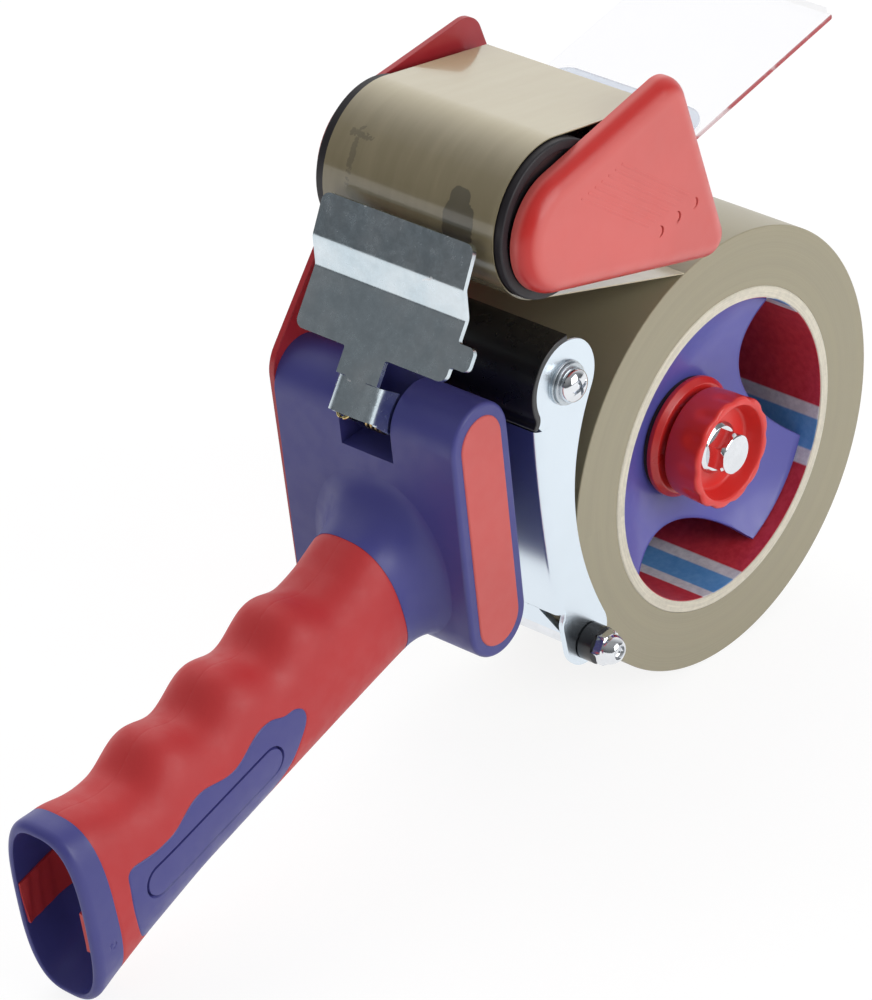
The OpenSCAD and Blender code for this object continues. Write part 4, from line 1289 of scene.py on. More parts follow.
    def panel_outline(self) -> Outline:
        """Outline of a side panel: distance along the handle and height across it.

        Returns:
            The closed outline.
        """
        mouth = [(12.4, -6.0), (13.6, 1.5), (14.3, 4.7), (16.3, 5.7), (20.0, 4.9), (23.5, 4.2)]
        waves = [(s, 5.55 + 1.5 * polar(360 * (s - 38.8) / self.finger_pitch)[0]) for s in range(27, 66, 2)]
        nose = [(68.2, 4.3), (71.2, 3.6), (73.3, 1.8), (73.8, -0.6), (72.9, -2.9), (70.6, -5.6), (66.3, -10.2)]
        foot = [(61.5, -13.2), (54.0, -15.0), (44.0, -16.6), (32.0, -17.3), (20.0, -17.3), (14.6, -16.8),
                (12.6, -13.5)]
        return smoothed(mouth + waves + nose + foot)

    def build(self) -> None:
        """Builds the handle's pieces."""
        self.build_core()
        self.build_grip()
        self.build_strips()
        outline = stadium(self.block, self.block_tilt, *self.inlay)
        Draft("block_strip").slab(outline, BLOCK_END - 0.35, BLOCK_END + 0.6, low=0.5).piece(
            Body.FRAME, Coat.INLAY, "grip_red", ["block_inlay"])

    def build_core(self) -> None:
        """Builds the hard moulding: block with its slot, neck, tube and rim."""
        core = Draft("handle_moulding")
        near, far = self.slot_y - self.slot_w / 2, self.slot_y + self.slot_w / 2
        whole = stadium(self.block, self.block_tilt, self.block_h / 2, self.block_t / 2)
        core.slab(whole, BLOCK_END, near, low=1.1)
        core.slab(self.notched(), near, far)
        core.slab(whole, far, PLATE_IN)
        inner = [self.hard(s, self.wall(s), self.dip(s)) for s in np.linspace(self.grip_end - 8, 1.0, 60)]
        crest, inside, outside = 1.7, 0.5, 2.4
        lip = [self.hard(inside * (1 - s), crest + inside * c) for c, s in map(polar, range(0, 90, 15))]
        lip += [self.hard(outside * (1 - s), crest * (1 - c)) for c, s in map(polar, range(90, -1, -9))]
        rim = [self.hard(s, 0.0) for s in np.linspace(3.2, self.rim, 12)]
        seat = [self.hard(s, self.grip_t, self.dip(s)) for s in np.linspace(self.rim, self.grip_end, 30)]
        tube = Draft("tube").rows(inner + lip + rim + seat + self.neck(28), caps=True)
        spots = np.array(tube.score(self.pin_mark, self.pin_w).points)
        spots[:, 1] += 0.3 * np.clip(1 - self.pin_mark(spots) / self.pin_w, 0, 1)
        core.join(tube.faces, triples(spots))
        core.piece(Body.FRAME, Coat.HANDLE, "handle_blue", ["handle_core"], sharp=38)

    def pin_mark(self, spots: np.ndarray) -> np.ndarray:
        """Distance of points to the line of the small round pin mark on the near side of the rim.

        Args:
            spots: Points on the tube.

        Returns:
            The distance of each point.
        """
        flat = self.flat(spots)
        ring = np.abs(np.hypot(flat[:, 0] - self.pin[0], flat[:, 1] - self.pin[1]) - self.pin_r)
        return np.where((spots[:, 1] < -6) & (flat[:, 0] > 2.5) & (flat[:, 0] < 7), ring, FAR)

    def build_strips(self) -> None:
        """Builds the two strips of grip rubber that show along the inside of the mouth."""
        first, length, buried = 0.8, 62.0, 0.4
        strips = Draft("mouth_strips")
        for side in (-1.0, 1.0):
            rows, proud = [], 1.1 - 0.5 * side
            for k, t in enumerate(np.linspace(0.0, 1.0, 60)):
                s = first + length * t
                depth, e = self.wall(s), self.squareness(s)
                up, wide = self.half_h(s) - depth, self.half_w(s) - depth
                c, n = along(self.end, polar(self.angle), s), polar(90 + self.lean(s))
                face, back = [], []
                for v in np.linspace(*self.strip, 15):
                    y = wide * (1 - abs(v / up) ** (2 / e)) ** (e / 2)
                    ragged = 0.25 * math.sin(7.3 * v + 1.9 * k) * math.exp(-s / 6)
                    x, z = along(along(c, n, v), polar(self.angle), ragged)
                    face.append((x, side * (y - proud - ragged), z))
                    back.append((x, side * (y + buried), z))
                rows.append(face + back[::-1])
            strips.rows(rows, caps=True)
        strips.piece(Body.FRAME, Coat.GRIP, "grip_red", sharp=50)

    def flat(self, spots: np.ndarray) -> np.ndarray:
        """Distance along the handle and height across it for an array of points."""
        axes = np.array((polar(self.angle), polar(90 + self.angle)))
        return (spots[:, [0, 2]] - np.array(self.end)) @ axes.T

    def outward(self, spots: np.ndarray) -> np.ndarray:
        """Direction from the handle's middle line to each of an array of points.

        Args:
            spots: Points, one to a row.

        Returns:
            The unit vector of each point.
        """
        d = polar(self.angle)
        s = self.flat(spots)[:, 0]
        line = np.stack([self.end[0] + s * d[0], np.zeros_like(s), self.end[1] + s * d[1]], axis=1)
        return (spots - line) / np.linalg.norm(spots - line, axis=1, keepdims=True)

    def build_grip(self) -> None:
        """Builds the soft grip and the panels let into it, both with a fine seam between them."""
        seam_w, seam_d, groove_w, groove_d, part_w, part_d, thick = 0.3, 0.16, 0.36, 1.2, 0.2, 0.06, 1.6
        outline = self.panel_outline()

        def border(spots: np.ndarray) -> np.ndarray:
            """Distance of points to the panel's border, negative inside it."""
            return signed_distance(outline, self.flat(spots))

        skin = Draft("grip_skin").rows([self.gripped(s) for s in np.linspace(self.rim, self.grip_end, 190)])
        skin.score(border, -seam_w, seam_w)
        panel, sleeve = split(skin, border(np.array(skin.points)), "grip_panel", "grip_sleeve")
        panel.score(self.groove, -groove_w, 0.0, groove_w)
        sleeve.score(lambda spots: spots[:, 1], -part_w, 0.0, part_w)
        for draft, cut, parting in ((panel, groove_d, 0.0), (sleeve, 0.0, part_d)):
            spots = np.array(draft.points)
            depth = seam_d * np.clip(1 - np.abs(border(spots)) / seam_w, 0, 1)
            depth += cut * np.clip(1 - np.abs(self.groove(spots)) / groove_w, 0, 1)
            depth += parting * np.clip(1 - np.abs(spots[:, 1]) / part_w, 0, 1)
            out = self.outward(spots)
            draft.points = triples(spots - out * depth[:, None])
            draft.thicken(-out * thick)
        sleeve.piece(Body.FRAME, Coat.GRIP, "grip_red", ["handle_grip"], sharp=50)
        panel.piece(Body.FRAME, Coat.HANDLE, "handle_blue", ["grip_panels"], sharp=50)

    def groove(self, spots: np.ndarray) -> np.ndarray:
        """Distance of points to the panels' groove, negative inside its loop."""
        a, b = self.loop
        return to_segment(self.flat(spots), np.array(a), np.array(b)) - self.loop_r


def to_segment(spots: np.ndarray, a: np.ndarray, b: np.ndarray) -> np.ndarray:
    """Distance of an array of spots to the line between two points."""
    t = np.clip(((spots - a) @ (b - a)) / max(float((b - a) @ (b - a)), 1e-12), 0, 1)
    return np.linalg.norm(spots - a - t[:, None] * (b - a), axis=1)


def signed_distance(outline: Outline, spots: np.ndarray) -> np.ndarray:
    """Distance of spots to a closed outline, negative inside.

    Args:
        outline: Closed outline.
        spots: Array of spots, one to a row.

    Returns:
        The signed distance of each spot.
    """
    best = np.full(len(spots), 1e9)
    inside = np.zeros(len(spots), dtype=bool)
    for i, p in enumerate(outline):
        a, b = np.array(p), np.array(outline[(i + 1) % len(outline)])
        best = np.minimum(best, to_segment(spots, a, b))
        if b[1] != a[1]:
            crosses = (a[1] > spots[:, 1]) != (b[1] > spots[:, 1])
            inside ^= crosses & (spots[:, 0] < (b[0] - a[0]) * (spots[:, 1] - a[1]) / (b[1] - a[1]) + a[0])
    return np.where(inside, -best, best)


def split(skin: Draft, value: np.ndarray, inner: str, outer: str) -> tuple[Draft, Draft]:
    """Parts a skin along the line where a value is zero.

    Args:
        skin: Skin to part.
        value: Value at each point of the skin.
        inner: Name of the piece where the value is negative.
        outer: Name of the other piece.

    Returns:
        The two pieces.
    """
    spots = np.array(skin.points)
    pieces = (Draft(inner), Draft(outer))
    for draft, sign in zip(pieces, (-1.0, 1.0)):
        known: dict[tuple[int, int], int] = {}

        def corner(i: int, j: int) -> int:
            """Finds or adds a kept point, or the crossing between two points.

            Args:
                i: Point of the skin.
                j: The same point, or another across the line.

            Returns:
                The index in the piece.
            """
            key = (min(i, j), max(i, j))
            if key not in known:
                a, b = key
                t = 0.0 if a == b else value[a] / (value[a] - value[b])
                known[key] = len(draft.points)
                draft.points.append(tuple((spots[a] + (spots[b] - spots[a]) * t).tolist()))
            return known[key]

        for face in skin.faces:
            loop: list[int] = []
            for k, i in enumerate(face):
                j = face[(k + 1) % len(face)]
                if value[i] * sign >= 0:
                    loop.append(corner(i, i))
                if value[i] * value[j] < 0:
                    loop.append(corner(i, j))
            if len(loop) > 2:
                draft.faces.append(tuple(loop))
    return pieces


@dataclass
class RollerEnd:
    """Front roller, end cover, blade, flap and the free run of tape."""

    # Circles of the cover's belt, its depth, the straight part of its flank and the rounding of the rest
    cover: tuple[Triple, ...] = ((-68.6, 84.7, 14.9), (-16.1, 64.0, 5.5), (-33.6, 101.5, 8.0))
    depth: float = 5.5
    flank: float = 1.0
    fillet: float = 5.0
    # Tape: thickness, radius on the roller, its end and where it leaves the roll
    strip_t: float = 0.25
    wrap_r: float = 19.0
    tip: Pair = (-29.37, 100.67)
    peel: Pair = (-17.4, 53.5)
    # Moon-shaped dents with the width of their walls, and both ends of the first fine rib and of the last
    dents: tuple[Pair, ...] = ((-37.0, 73.7), (-30.8, 75.1), (-24.5, 76.4))
    dent_r: float = 1.5
    dent_w: float = 0.2
    dent_d: float = 0.8
    ribs: tuple[Pair, ...] = ((-51.1, 95.5), (-26.6, 79.1), (-65.2, 92.0), (-41.2, 76.5))
    rib_count: int = 7
    rib_r: float = 0.3
    # Flap, and its backing film: start, end and half width along it, lower and upper side over its root line
    flap_root: Pair = (-36.5, 79.5)
    flap_slope: float = 14.8
    backing: Triple = (5.0, 32.0, 22.5)
    backing_h: Pair = (1.15, 1.65)
    roller_r: float = 18.7
    roller_t: float = 2.5
    roller_y: Pair = (-27.0, 27.7)

    def build(self) -> None:
        """Builds the cover, the tape, the backing film and the roller."""
        self.build_cover()
        self.build_strip()
        self.build_backing()
        profile = hoop(self.roller_r - self.roller_t, self.roller_r, *self.roller_y, [0.5] * 4)
        Draft("roller_tube").lathe(Place.ROLLER.value, profile, 192).piece(
            Body.FRONT_ROLLER, Coat.ROLLER, "roller_black", ["front_roller"])

    def build_cover(self) -> None:
        """Builds the moulded cap with its full rounded flank, three small dents and fine ribs."""
        steps, rings = 14, 60
        rows = [level_row(self.ring(self.cover), COVER_BACK)]
        for k in range(steps + 1):
            u = polar(90.0 * k / steps)
            y = COVER_BACK - self.flank - (self.depth - self.flank) * u[1]
            small = [(x, z, r - self.fillet * (1 - u[0])) for x, z, r in self.cover]
            rows.append(level_row(self.ring(small), y))
        middle = tuple(np.mean(np.array(rows[-1]), axis=0)[[0, 2]].tolist())

        def shrunk(row: list[Triple], t: float, y: float) -> list[Triple]:
            """Row drawn in towards the cover's middle at a level."""
            return level_row((between(middle, (x, z), t) for x, _, z in row), y)

        face = COVER_BACK - self.depth
        rows += [shrunk(rows[-1], 1 - 0.995 * k / rings, face) for k in range(1, rings + 1)]
        cap = Draft("roller_cover").rows([shrunk(rows[0], 0.4, COVER_BACK)] + rows, caps=True)

        def crescent(spots: np.ndarray) -> np.ndarray:
            """Distance to the nearest of the three moon-shaped dents.

            Args:
                spots: Points on the cap.

            Returns:
                The distance of each point, negative inside.
            """
            best = np.full(len(spots), FAR)
            for x, z in self.dents:
                disc = np.hypot(spots[:, 0] - x, spots[:, 2] - z) - self.dent_r
                moon = self.dent_r + 0.1 - np.hypot(spots[:, 0] - x + 0.85, spots[:, 2] - z - 0.15)
                best = np.minimum(best, np.maximum(disc, moon))
            return np.where(spots[:, 1] < face + 0.01, best, FAR)

        cap.press(crescent, self.dent_w, self.dent_d)
        for k in range(self.rib_count):
            t = k / (self.rib_count - 1)
            ends = [(*between(self.ribs[i], self.ribs[i + 2], t), self.rib_r) for i in (0, 1)]
            cap.slab(belt(ends, 15.0), face - 0.1, face + 0.3, low=0.09)
        cap.piece(Body.FRAME, Coat.COVER, "cover_red", ["end_cover"], sharp=40)

    @staticmethod
    def ring(circles: Sequence[Triple]) -> Outline:
        """Belt round circles, always of as many points."""
        loop = belt(circles, 3.0)
        return spread(np.array(loop + loop[:1]), 360)

    def build_strip(self) -> None:
        """Builds the free run of tape as one thin sheet."""
        c = Place.ROLLER.value
        path = [self.tip] + arc(c, self.wrap_r, *WRAP, 120)
        path += [between(path[-1], self.peel, k / 12) for k in range(1, 13)]
        p = np.array(path)
        d = np.gradient(p, axis=0)
        d /= np.linalg.norm(d, axis=1, keepdims=True)
        out = np.stack([d[:, 1], -d[:, 0]], axis=1)
        outer = p + out * self.strip_t * np.sign(np.sum(out * (p - np.array(c)), axis=1, keepdims=True))
        ys = np.linspace(-EDGE, EDGE, 26).tolist()
        rows = [[(x, y, z) for y in ys] + [(u, y, w) for y in reversed(ys)]
                for (x, z), (u, w) in zip(p.tolist(), outer.tolist())]
        Draft("tape_run").rows(rows, caps=True).piece(
            Body.FRAME, Coat.TAPE, "tape", ["tape_strip"], sharp=60)

    def build_backing(self) -> None:
        """Builds the rounded backing film at the root of the flap."""
        start, stop, half = self.backing
        corners = [(start, -half), (stop, -half), (stop, half), (start, half)]
        outline = rounded(corners, [2.0, 6.0, 6.0, 2.0], 8)
        d, n = polar(self.flap_slope), polar(90 + self.flap_slope)
        rows = []
        for h in self.backing_h:
            rows.append(raised((along(along(self.flap_root, d, t), n, h), y) for t, y in outline))
        Draft("flap_backing").rows(rows, caps=True).piece(
            Body.FRAME, Coat.STIFFENER, "stiffener", ["flap_stiffener"])

    def dress(self) -> None:
        """Dresses the nodes that keep their CAD shape."""
        dress(Coat.ZINC, "front_axle", "axle_nut", "blade_bar", "blade_screws", "flap_clamp", "flap_rivets")
        dress(Coat.BLADE, "cutter_blade")
        dress(Coat.FLAP, "wiper_flap")
        dress(Coat.BLACK, "roller_bushes")


@dataclass
class TapeRoll:
    """Roll of tape, its core and the three-armed hub."""

    # Roll and core, whose radius is that of its bore
    radius: float = 56.0
    core: float = 38.0
    wall: float = 3.0
    lining: float = 0.12
    # Hub: levels of its middle and of its arm ends, the scallops' centres and angles, radius of its flat seat,
    # rounding of its front edge, and radius and thickness of the flange behind the roll
    face: float = -12.0
    arm: float = -21.5
    bore: float = 7.05
    rim: float = 37.7
    scallop_r: float = 39.0
    scallop_at: float = 61.2
    scallops: Triple = (20.0, -100.0, 140.0)
    seat: float = 15.0
    edge_r: float = 0.9
    plate_t: float = 2.5
    sleeve_r: float = 10.0
    flange: Pair = (44.0, 2.0)

    def build(self) -> None:
        """Builds roll, core, lining and hub."""
        mid, bore, end = self.core + self.wall, self.core + self.lining, EDGE - 0.1
        wound = hoop(mid, self.radius, -EDGE, EDGE, [0, 0.35, 0.35, 0])
        Draft("tape_wound").lathe(Place.ROLL.value, wound, 256).piece(
            Body.ROLL, Coat.ROLL, "tape", ["tape_roll"])
        board = hoop(bore, mid, -EDGE - 0.25, EDGE, [0.3, 0.5, 0, 0])
        Draft("core_tube").lathe(Place.ROLL.value, board, 224).piece(
            Body.ROLL, Coat.CORE, "core", ["tape_core"])
        Draft("core_lining").lathe(Place.ROLL.value, hoop(self.core, bore + 0.05, -end, end), 224).piece(
            Body.ROLL, Coat.LINER, "core")
        self.build_hub()

    def reach(self, degrees: float) -> float:
        """Radius to which the hub's plate goes at an angle.

        Args:
            degrees: Angle about the roll's axis.

        Returns:
            The radius there.
        """
        best = self.rim
        for a in self.scallops:
            c, s = polar(degrees - a)
            root = self.scallop_r ** 2 - (self.scallop_at * s) ** 2
            if root > 0 and c > 0:
                best = min(best, self.scallop_at * c - math.sqrt(root))
        return best

    def level(self, r: float) -> float:
        """Level of the hub's face at a radius."""
        u = max(0.0, (r - self.seat) / (self.rim - self.seat))
        return self.face + (self.arm - self.face) * (0.5 * u + 0.5 * u * u)

    def build_hub(self) -> None:
        """Builds the dished hub with its arms, sleeve, register ring and back flange."""
        hub = Draft("hub_dish")
        e = self.edge_r
        rows = []
        for a in range(360):
            end, u = self.reach(a), polar(a)
            radii = [self.bore + (end - e - self.bore) * k / 40 for k in range(41)]
            face = [(r, self.level(r)) for r in radii]
            face += [(end - e + e * c, self.level(end) + e - e * s) for c, s in map(polar, (65, 40, 15, 0))]
            back = [(end, self.level(end) + self.plate_t - 0.3)]
            back += [(r, self.level(r) + self.plate_t) for r in reversed(radii)]
            rows.append([(r * u[0], y, r * u[1]) for r, y in face + back])
        hub.rows(rows, loop=True)
        outer, thick = self.flange
        for profile in (hoop(self.rim - 2, self.rim - 0.05, EDGE - 8, EDGE),
                        hoop(self.bore, self.sleeve_r, self.face + 1, EDGE),
                        hoop(self.bore, outer, EDGE, EDGE + thick, [0, 0.4, 0.4, 0])):
            hub.lathe(Place.ROLL.value, profile)
        hub.piece(Body.ROLL, Coat.HUB, "hub_blue", ["hub"], sharp=40)

    def dress(self) -> None:
        """Dresses the nodes that keep their CAD shape."""
        dress(Coat.PAD, "friction_disc")
        dress(Coat.ZINC, "axle_tube", "hub_nut")


@dataclass
class Brake:
    """Knob, bolt, thrust flange and spring on the hub's middle."""

    # Knob: radius of its rim, how much narrower its back is, and levels of its back, spring seat, rim and floor
    radius: float = 14.2
    taper: float = 0.7
    wall: float = 2.0
    bore: float = 4.0
    back: float = -17.2
    seat: float = -20.4
    face: float = -27.5
    floor: float = -22.6
    scallops: int = 12
    # Back and face of the thrust flange, the spring's wire and turns, and the corners of the bolt's head
    flange_y: Pair = (-13.3, -15.8)
    wire: float = 1.4
    turns: float = 1.5
    hex_r: float = 5.6

    def build(self) -> None:
        """Builds knob, flange, bolt and spring."""
        self.build_knob()
        self.build_bolt()
        behind, front = self.flange_y
        flange = rounded([(self.bore, behind), (15.2, behind), (15.2, behind - 1.2), (13.9, front),
                          (self.bore, front)], [0, 0.3, 0.5, 0.6, 0])
        Draft("thrust_disc").lathe(Place.ROLL.value, flange).piece(
            Body.KNOB, Coat.FLANGE, "knob_red", ["thrust_flange"])
        r = self.radius - self.wall - 0.3 - self.wire
        start = self.seat + self.wire / 2
        pitch = (front - self.seat - self.wire) / self.turns
        path = [(r, start, -self.wire)] + helix(Place.ROLL.value, r, start, pitch, self.turns, 90)
        Draft("brake_coil").tube(path, self.wire / 2).piece(
            Body.KNOB, Coat.CHROME, "spring", ["brake_spring"], sharp=70)

    def build_knob(self) -> None:
        """Builds the scalloped cup."""
        r, inner, lip = self.radius, self.radius - self.wall, self.radius - 2.2
        corners = [(self.bore, self.seat), (inner, self.seat), (inner, self.back), (r - self.taper, self.back),
                   (r, self.face), (lip, self.face), (r - 3.4, self.floor), (self.bore, self.floor)]
        profile = dense(rounded(corners, [0, 0.3, 0.3, 0.7, 0.9, 0.7, 0.9, 0]), 0.9)
        count, rows = 288, []
        for k in range(count):
            u = polar(360 * k / count)
            wave = 0.5 + 0.5 * polar(360 * k / count * self.scallops)[0]
            row = []
            for rad, y in profile:
                toward = min(1.0, max(0.0, (self.face + 6.2 - y) / 3.0))
                share = min(1.0, max(0.0, (rad - lip) / 1.6))
                cut = 0.55 * wave ** 2.2 * toward * toward * (3 - 2 * toward) * share
                row.append(((rad - cut) * u[0], y, (rad - cut) * u[1]))
            rows.append(row)
        Draft("knob_cup").rows(rows, loop=True).piece(
            Body.KNOB, Coat.KNOB, "knob_red", ["brake_knob"], sharp=50)

    def build_bolt(self) -> None:
        """Builds the flanged hexagon bolt with its chamfered head."""
        bolt = Draft("hub_bolt_head")
        f, r, tip = self.floor, self.bore, 37.1
        shank = [(0.0, f), (r, f), (r, tip - 0.4), (r - 0.4, tip), (0.0, tip)]
        bolt.lathe(Place.ROLL.value, shank, 96, closed=False)
        collar = [(0.0, f + 0.3), (6.6, f + 0.3), (6.6, f - 0.5), (5.6, f - 1.2), (0.0, f - 1.2)]
        bolt.lathe(Place.ROLL.value, rounded(collar, [0, 0.1, 0.3, 0.4, 0]), 96)
        profile = ((0.6, 9.0), (1.2, 9.0), (4.5, 5.7), (5.0, 5.4), (5.4, 5.05), (5.85, 4.9), (6.0, 4.65),
                   (6.0, 0.02))
        head = hexagon(Place.ROLL.value, self.hex_r, [(f - depth, cone) for depth, cone in profile], 30.0)
        bolt.rows(head, caps=True)
        bolt.piece(Body.KNOB, Coat.CHROME, "chrome", ["hub_bolt"], sharp=24)


@dataclass
class Yoke:
    """Swinging bracket with the damper roller and its cover."""

    # Side view of an arm: head, foot, and the waist with its half width
    head: Pair = Place.HEAD.value
    head_r: float = 10.5
    foot: Pair = (-54.5, -26.0)
    foot_r: float = 7.5
    waist: Pair = (-64.8, 10.0)
    waist_r: float = 5.3
    # Sheet and its bends, how far the arms' front edges stand back along the web, where web and skirt start and
    # end along the front edge, and the width of the notches beside the skirt
    sheet: float = 1.5
    bend: float = 2.0
    setback: Course = Course(((0.09, 0.0), (0.15, 1.9), (0.84, 1.9), (0.90, 0.0)))
    web: Pair = (0.14, 0.86)
    skirt: Pair = (0.075, 0.145)
    relief: float = 6.0
    # Cap nut; washers by radius, top and foot; screw with half width and half length of its recess's arms
    nut_y: float = -31.7
    nut_r: float = 4.4
    washers: tuple[Triple, ...] = ((5.4, 0.62, 0.0), (4.8, 1.08, 0.66), (5.1, 1.5, 1.12))
    screw_r: float = 2.0
    cross: Pair = (0.5, 2.2)
    cross_turn: float = 20.0
    # Damper's shell: half its wall, the angle at which its lip starts, and the lip's radius and turn
    shell_t: float = 0.8
    lip: float = 207.0
    curl_r: float = 2.2
    curl: float = 70.0

    def edge(self, u: float, way: float, foot: float, head: float) -> Pair:
        """Point of an edge of the arm, a curve from the foot past the waist to the head.

        Args:
            u: Place along the edge, from zero to one.
            way: Minus one for the front edge, one for the rear.
            foot: Angle on the foot at which it starts.
            head: Angle on the head at which it ends.

        Returns:
            The point.
        """
        a, b = along(self.foot, polar(foot), self.foot_r), along(self.head, polar(head), self.head_r)
        w = (self.waist[0] + way * self.waist_r, self.waist[1])
        return tuple((1 - u) ** 2 * a[i] + 2 * u * (1 - u) * (2 * w[i] - (a[i] + b[i]) / 2) + u * u * b[i]
                     for i in range(2))

    def front(self, u: float) -> Pair:
        """Front edge of the arm, from the foot to the head."""
        return self.edge(u, -1, -165, 183)

    def outline(self) -> Outline:
        """Side view of an arm, anticlockwise.

        Returns:
            The closed outline.
        """
        loop = arc(self.head, self.head_r, 183, -26, 60) + [
            self.edge(1 - k / 40, 1, 30, -26) for k in range(1, 40)]
        loop += arc(self.foot, self.foot_r, 30, -165, 50)
        loop += [self.laid(k / 80, self.setback(k / 80)) for k in range(1, 80)]
        return loop[::-1]

    def laid(self, u: float, depth: float) -> Pair:
        """Point at a depth behind a place along the front edge.

        Args:
            u: Place along the front edge, from zero to one.
            depth: Depth behind it.

        Returns:
            The point.
        """
        a, b = self.front(u - 0.01), self.front(u + 0.01)
        length = math.dist(a, b)
        return along(self.front(u), ((b[1] - a[1]) / length, (a[0] - b[0]) / length), depth)

    def section(self, u: float, loop: Sequence[Pair]) -> list[Triple]:
        """Sets a section of depths and levels out at a place along the front edge."""
        return raised((self.laid(u, depth), y) for depth, y in loop)

    def fold(self, u: float) -> list[Triple]:
        """Section of the web and its two rounded bends at a place along the front edge.

        Args:
            u: Place along the front edge, from zero to one.

        Returns:
            The points of the section.
        """
        middle, inner, lap = ARM_OUT - self.bend, self.bend - self.sheet, self.bend + 2.2

        def bends(radius: float) -> list[Pair]:
            """Line along the web with a bend of a radius at both ends."""
            half = [(self.bend - radius * s, -middle - radius * c) for c, s in map(polar, range(0, 91, 10))]
            return half + [(depth, -y) for depth, y in reversed(half)]

        outside = [(lap, -ARM_OUT)] + bends(self.bend) + [(lap, ARM_OUT)]
        inside = [(lap, middle + inner)] + bends(inner)[::-1] + [(lap, -middle - inner)]
        return self.section(u, outside + inside)

    def flat(self, u: float) -> list[Triple]:
        """Section of the skirt, which narrows upwards to leave the relief notches."""
        half = ARM_IN + 0.7 - self.relief * max(0.0, min(1.0, (u - self.skirt[0]) / (
            self.web[0] - self.skirt[0])))
        return self.section(u, ((0, -half), (0, half), (self.sheet, half), (self.sheet, -half)))

    def build(self) -> None:
        """Builds bracket, cover, cap nut and screw."""
        bracket = Draft("yoke_bracket")
        sunk, soft = 0.012, 0.35
        for y0, y1 in ((sunk - ARM_OUT, -ARM_IN - sunk), (ARM_IN + sunk, ARM_OUT - sunk)):
            bracket.slab(self.outline(), y0, y1, low=soft, high=soft)
        bracket.rows([self.fold(u) for u in np.linspace(*self.web, 49)], caps=True)
        bracket.rows([self.flat(u) for u in np.linspace(*self.skirt, 9)], caps=True)
        bracket.piece(Body.YOKE, Coat.YOKE, "yoke_zinc", ["swing_yoke"], sharp=35)
        self.build_cover()
        self.build_nut()
        self.build_screw()

    def build_nut(self) -> None:
        """Builds the cap nut: a chamfered hexagon, a dome and a ring-shaped end."""
        profile = ((0.0, 3.2), (0.0, 4.0), (0.35, 4.4), (2.1, 4.4), (2.5, 4.05), (2.7, 3.7), (3.2, 3.65),
                   (3.8, 3.45), (4.4, 3.15), (4.9, 2.75), (5.25, 2.4), (5.4, 2.1), (5.3, 1.8), (4.7, 1.65),
                   (4.5, 1.5), (4.5, 0.02))
        rows = hexagon(Place.ROD.value, self.nut_r, [(self.nut_y - depth, cone) for depth, cone in profile])
        Draft("rod_cap").rows(rows, caps=True).piece(
            Body.FRAME, Coat.CHROME, "chrome", ["cap_nut"], sharp=28)

    def build_screw(self) -> None:
        """Builds the pan-head screw with its cross recess and the stack of washers under it."""
        stack = Draft("screw_washers")
        for radius, top, foot in self.washers:
            ring = hoop(self.screw_r, radius, -ARM_OUT - foot, -ARM_OUT - top, [0, 0.16, 0.16, 0])
            stack.lathe(self.head, ring, 96)
        stack.piece(Body.YOKE, Coat.ZINC, "zinc", ["spring_washer"], sharp=40)
        under, tip = -ARM_OUT - self.washers[-1][1], 10.0 - ARM_IN
        dome = [(self.screw_r, under), (4.0, under), (4.2, under - 0.3), (4.15, under - 0.9)]
        dome += [(4.1 * c, under - 1.0 - 2.1 * s) for c, s in map(polar, range(12, 84, 8))]
        dome += [(r, under - 3.1 + 0.012 * r * r) for r in (0.5, 0.3, 0.1, 0.01)]
        shank = [(self.screw_r, under + 0.2), (self.screw_r, tip), (0.01, tip)]
        head = Draft("screw_head").lathe(self.head, dome, closed=False)
        head.lathe(self.head, shank, 48, closed=False)

        def recess(spots: np.ndarray) -> np.ndarray:
            """Distance to the edge of the cross recess.

            Args:
                spots: Points on the head.

            Returns:
                The distance of each point, negative inside.
            """
            c, s = polar(self.cross_turn)
            x, z = spots[:, 0] - self.head[0], spots[:, 2] - self.head[1]
            u, v = np.abs(x * c + z * s), np.abs(z * c - x * s)
            wide, far = self.cross
            bars = np.minimum(np.maximum(u - wide, v - far), np.maximum(v - wide, u - far))
            return np.where(spots[:, 1] < under - 1.2, bars, FAR)

        head.press(recess, 0.15, 1.1)
        head.piece(Body.YOKE, Coat.CHROME, "chrome", ["damper_screw"], sharp=40)

    def build_cover(self) -> None:
        """Builds the black half shell with its curled lip."""
        inner, wall, lip = self.head_r, self.shell_t, self.lip
        curl = along(self.head, polar(lip), inner + wall + self.curl_r)
        last = lip - 180 - self.curl
        loop = arc(self.head, inner + 2 * wall, 90, lip, 60)
        loop += arc(curl, self.curl_r - wall, lip - 181, last, 12)
        loop += arc(along(curl, polar(last), self.curl_r), wall, last + 185, last + 355, 10)
        loop += arc(curl, self.curl_r + wall, last, lip - 181, 12)
        loop += arc(self.head, inner, lip, 90, 60)
        Draft("damper_shell").slab(loop, -ARM_OUT - 0.3, ARM_OUT + 0.3, low=0.3, high=0.3).piece(
            Body.YOKE, Coat.BLACK, "damper_black", ["damper_cover"], sharp=40)

    def dress(self) -> None:
        """Dresses the nodes that keep their CAD shape."""
        dress(Coat.CHROME, "cross_rod")
        dress(Coat.ZINC, "damper_axle", "rod_nut")
        dress(Coat.BLACK, "damper_roller", "rod_bush")


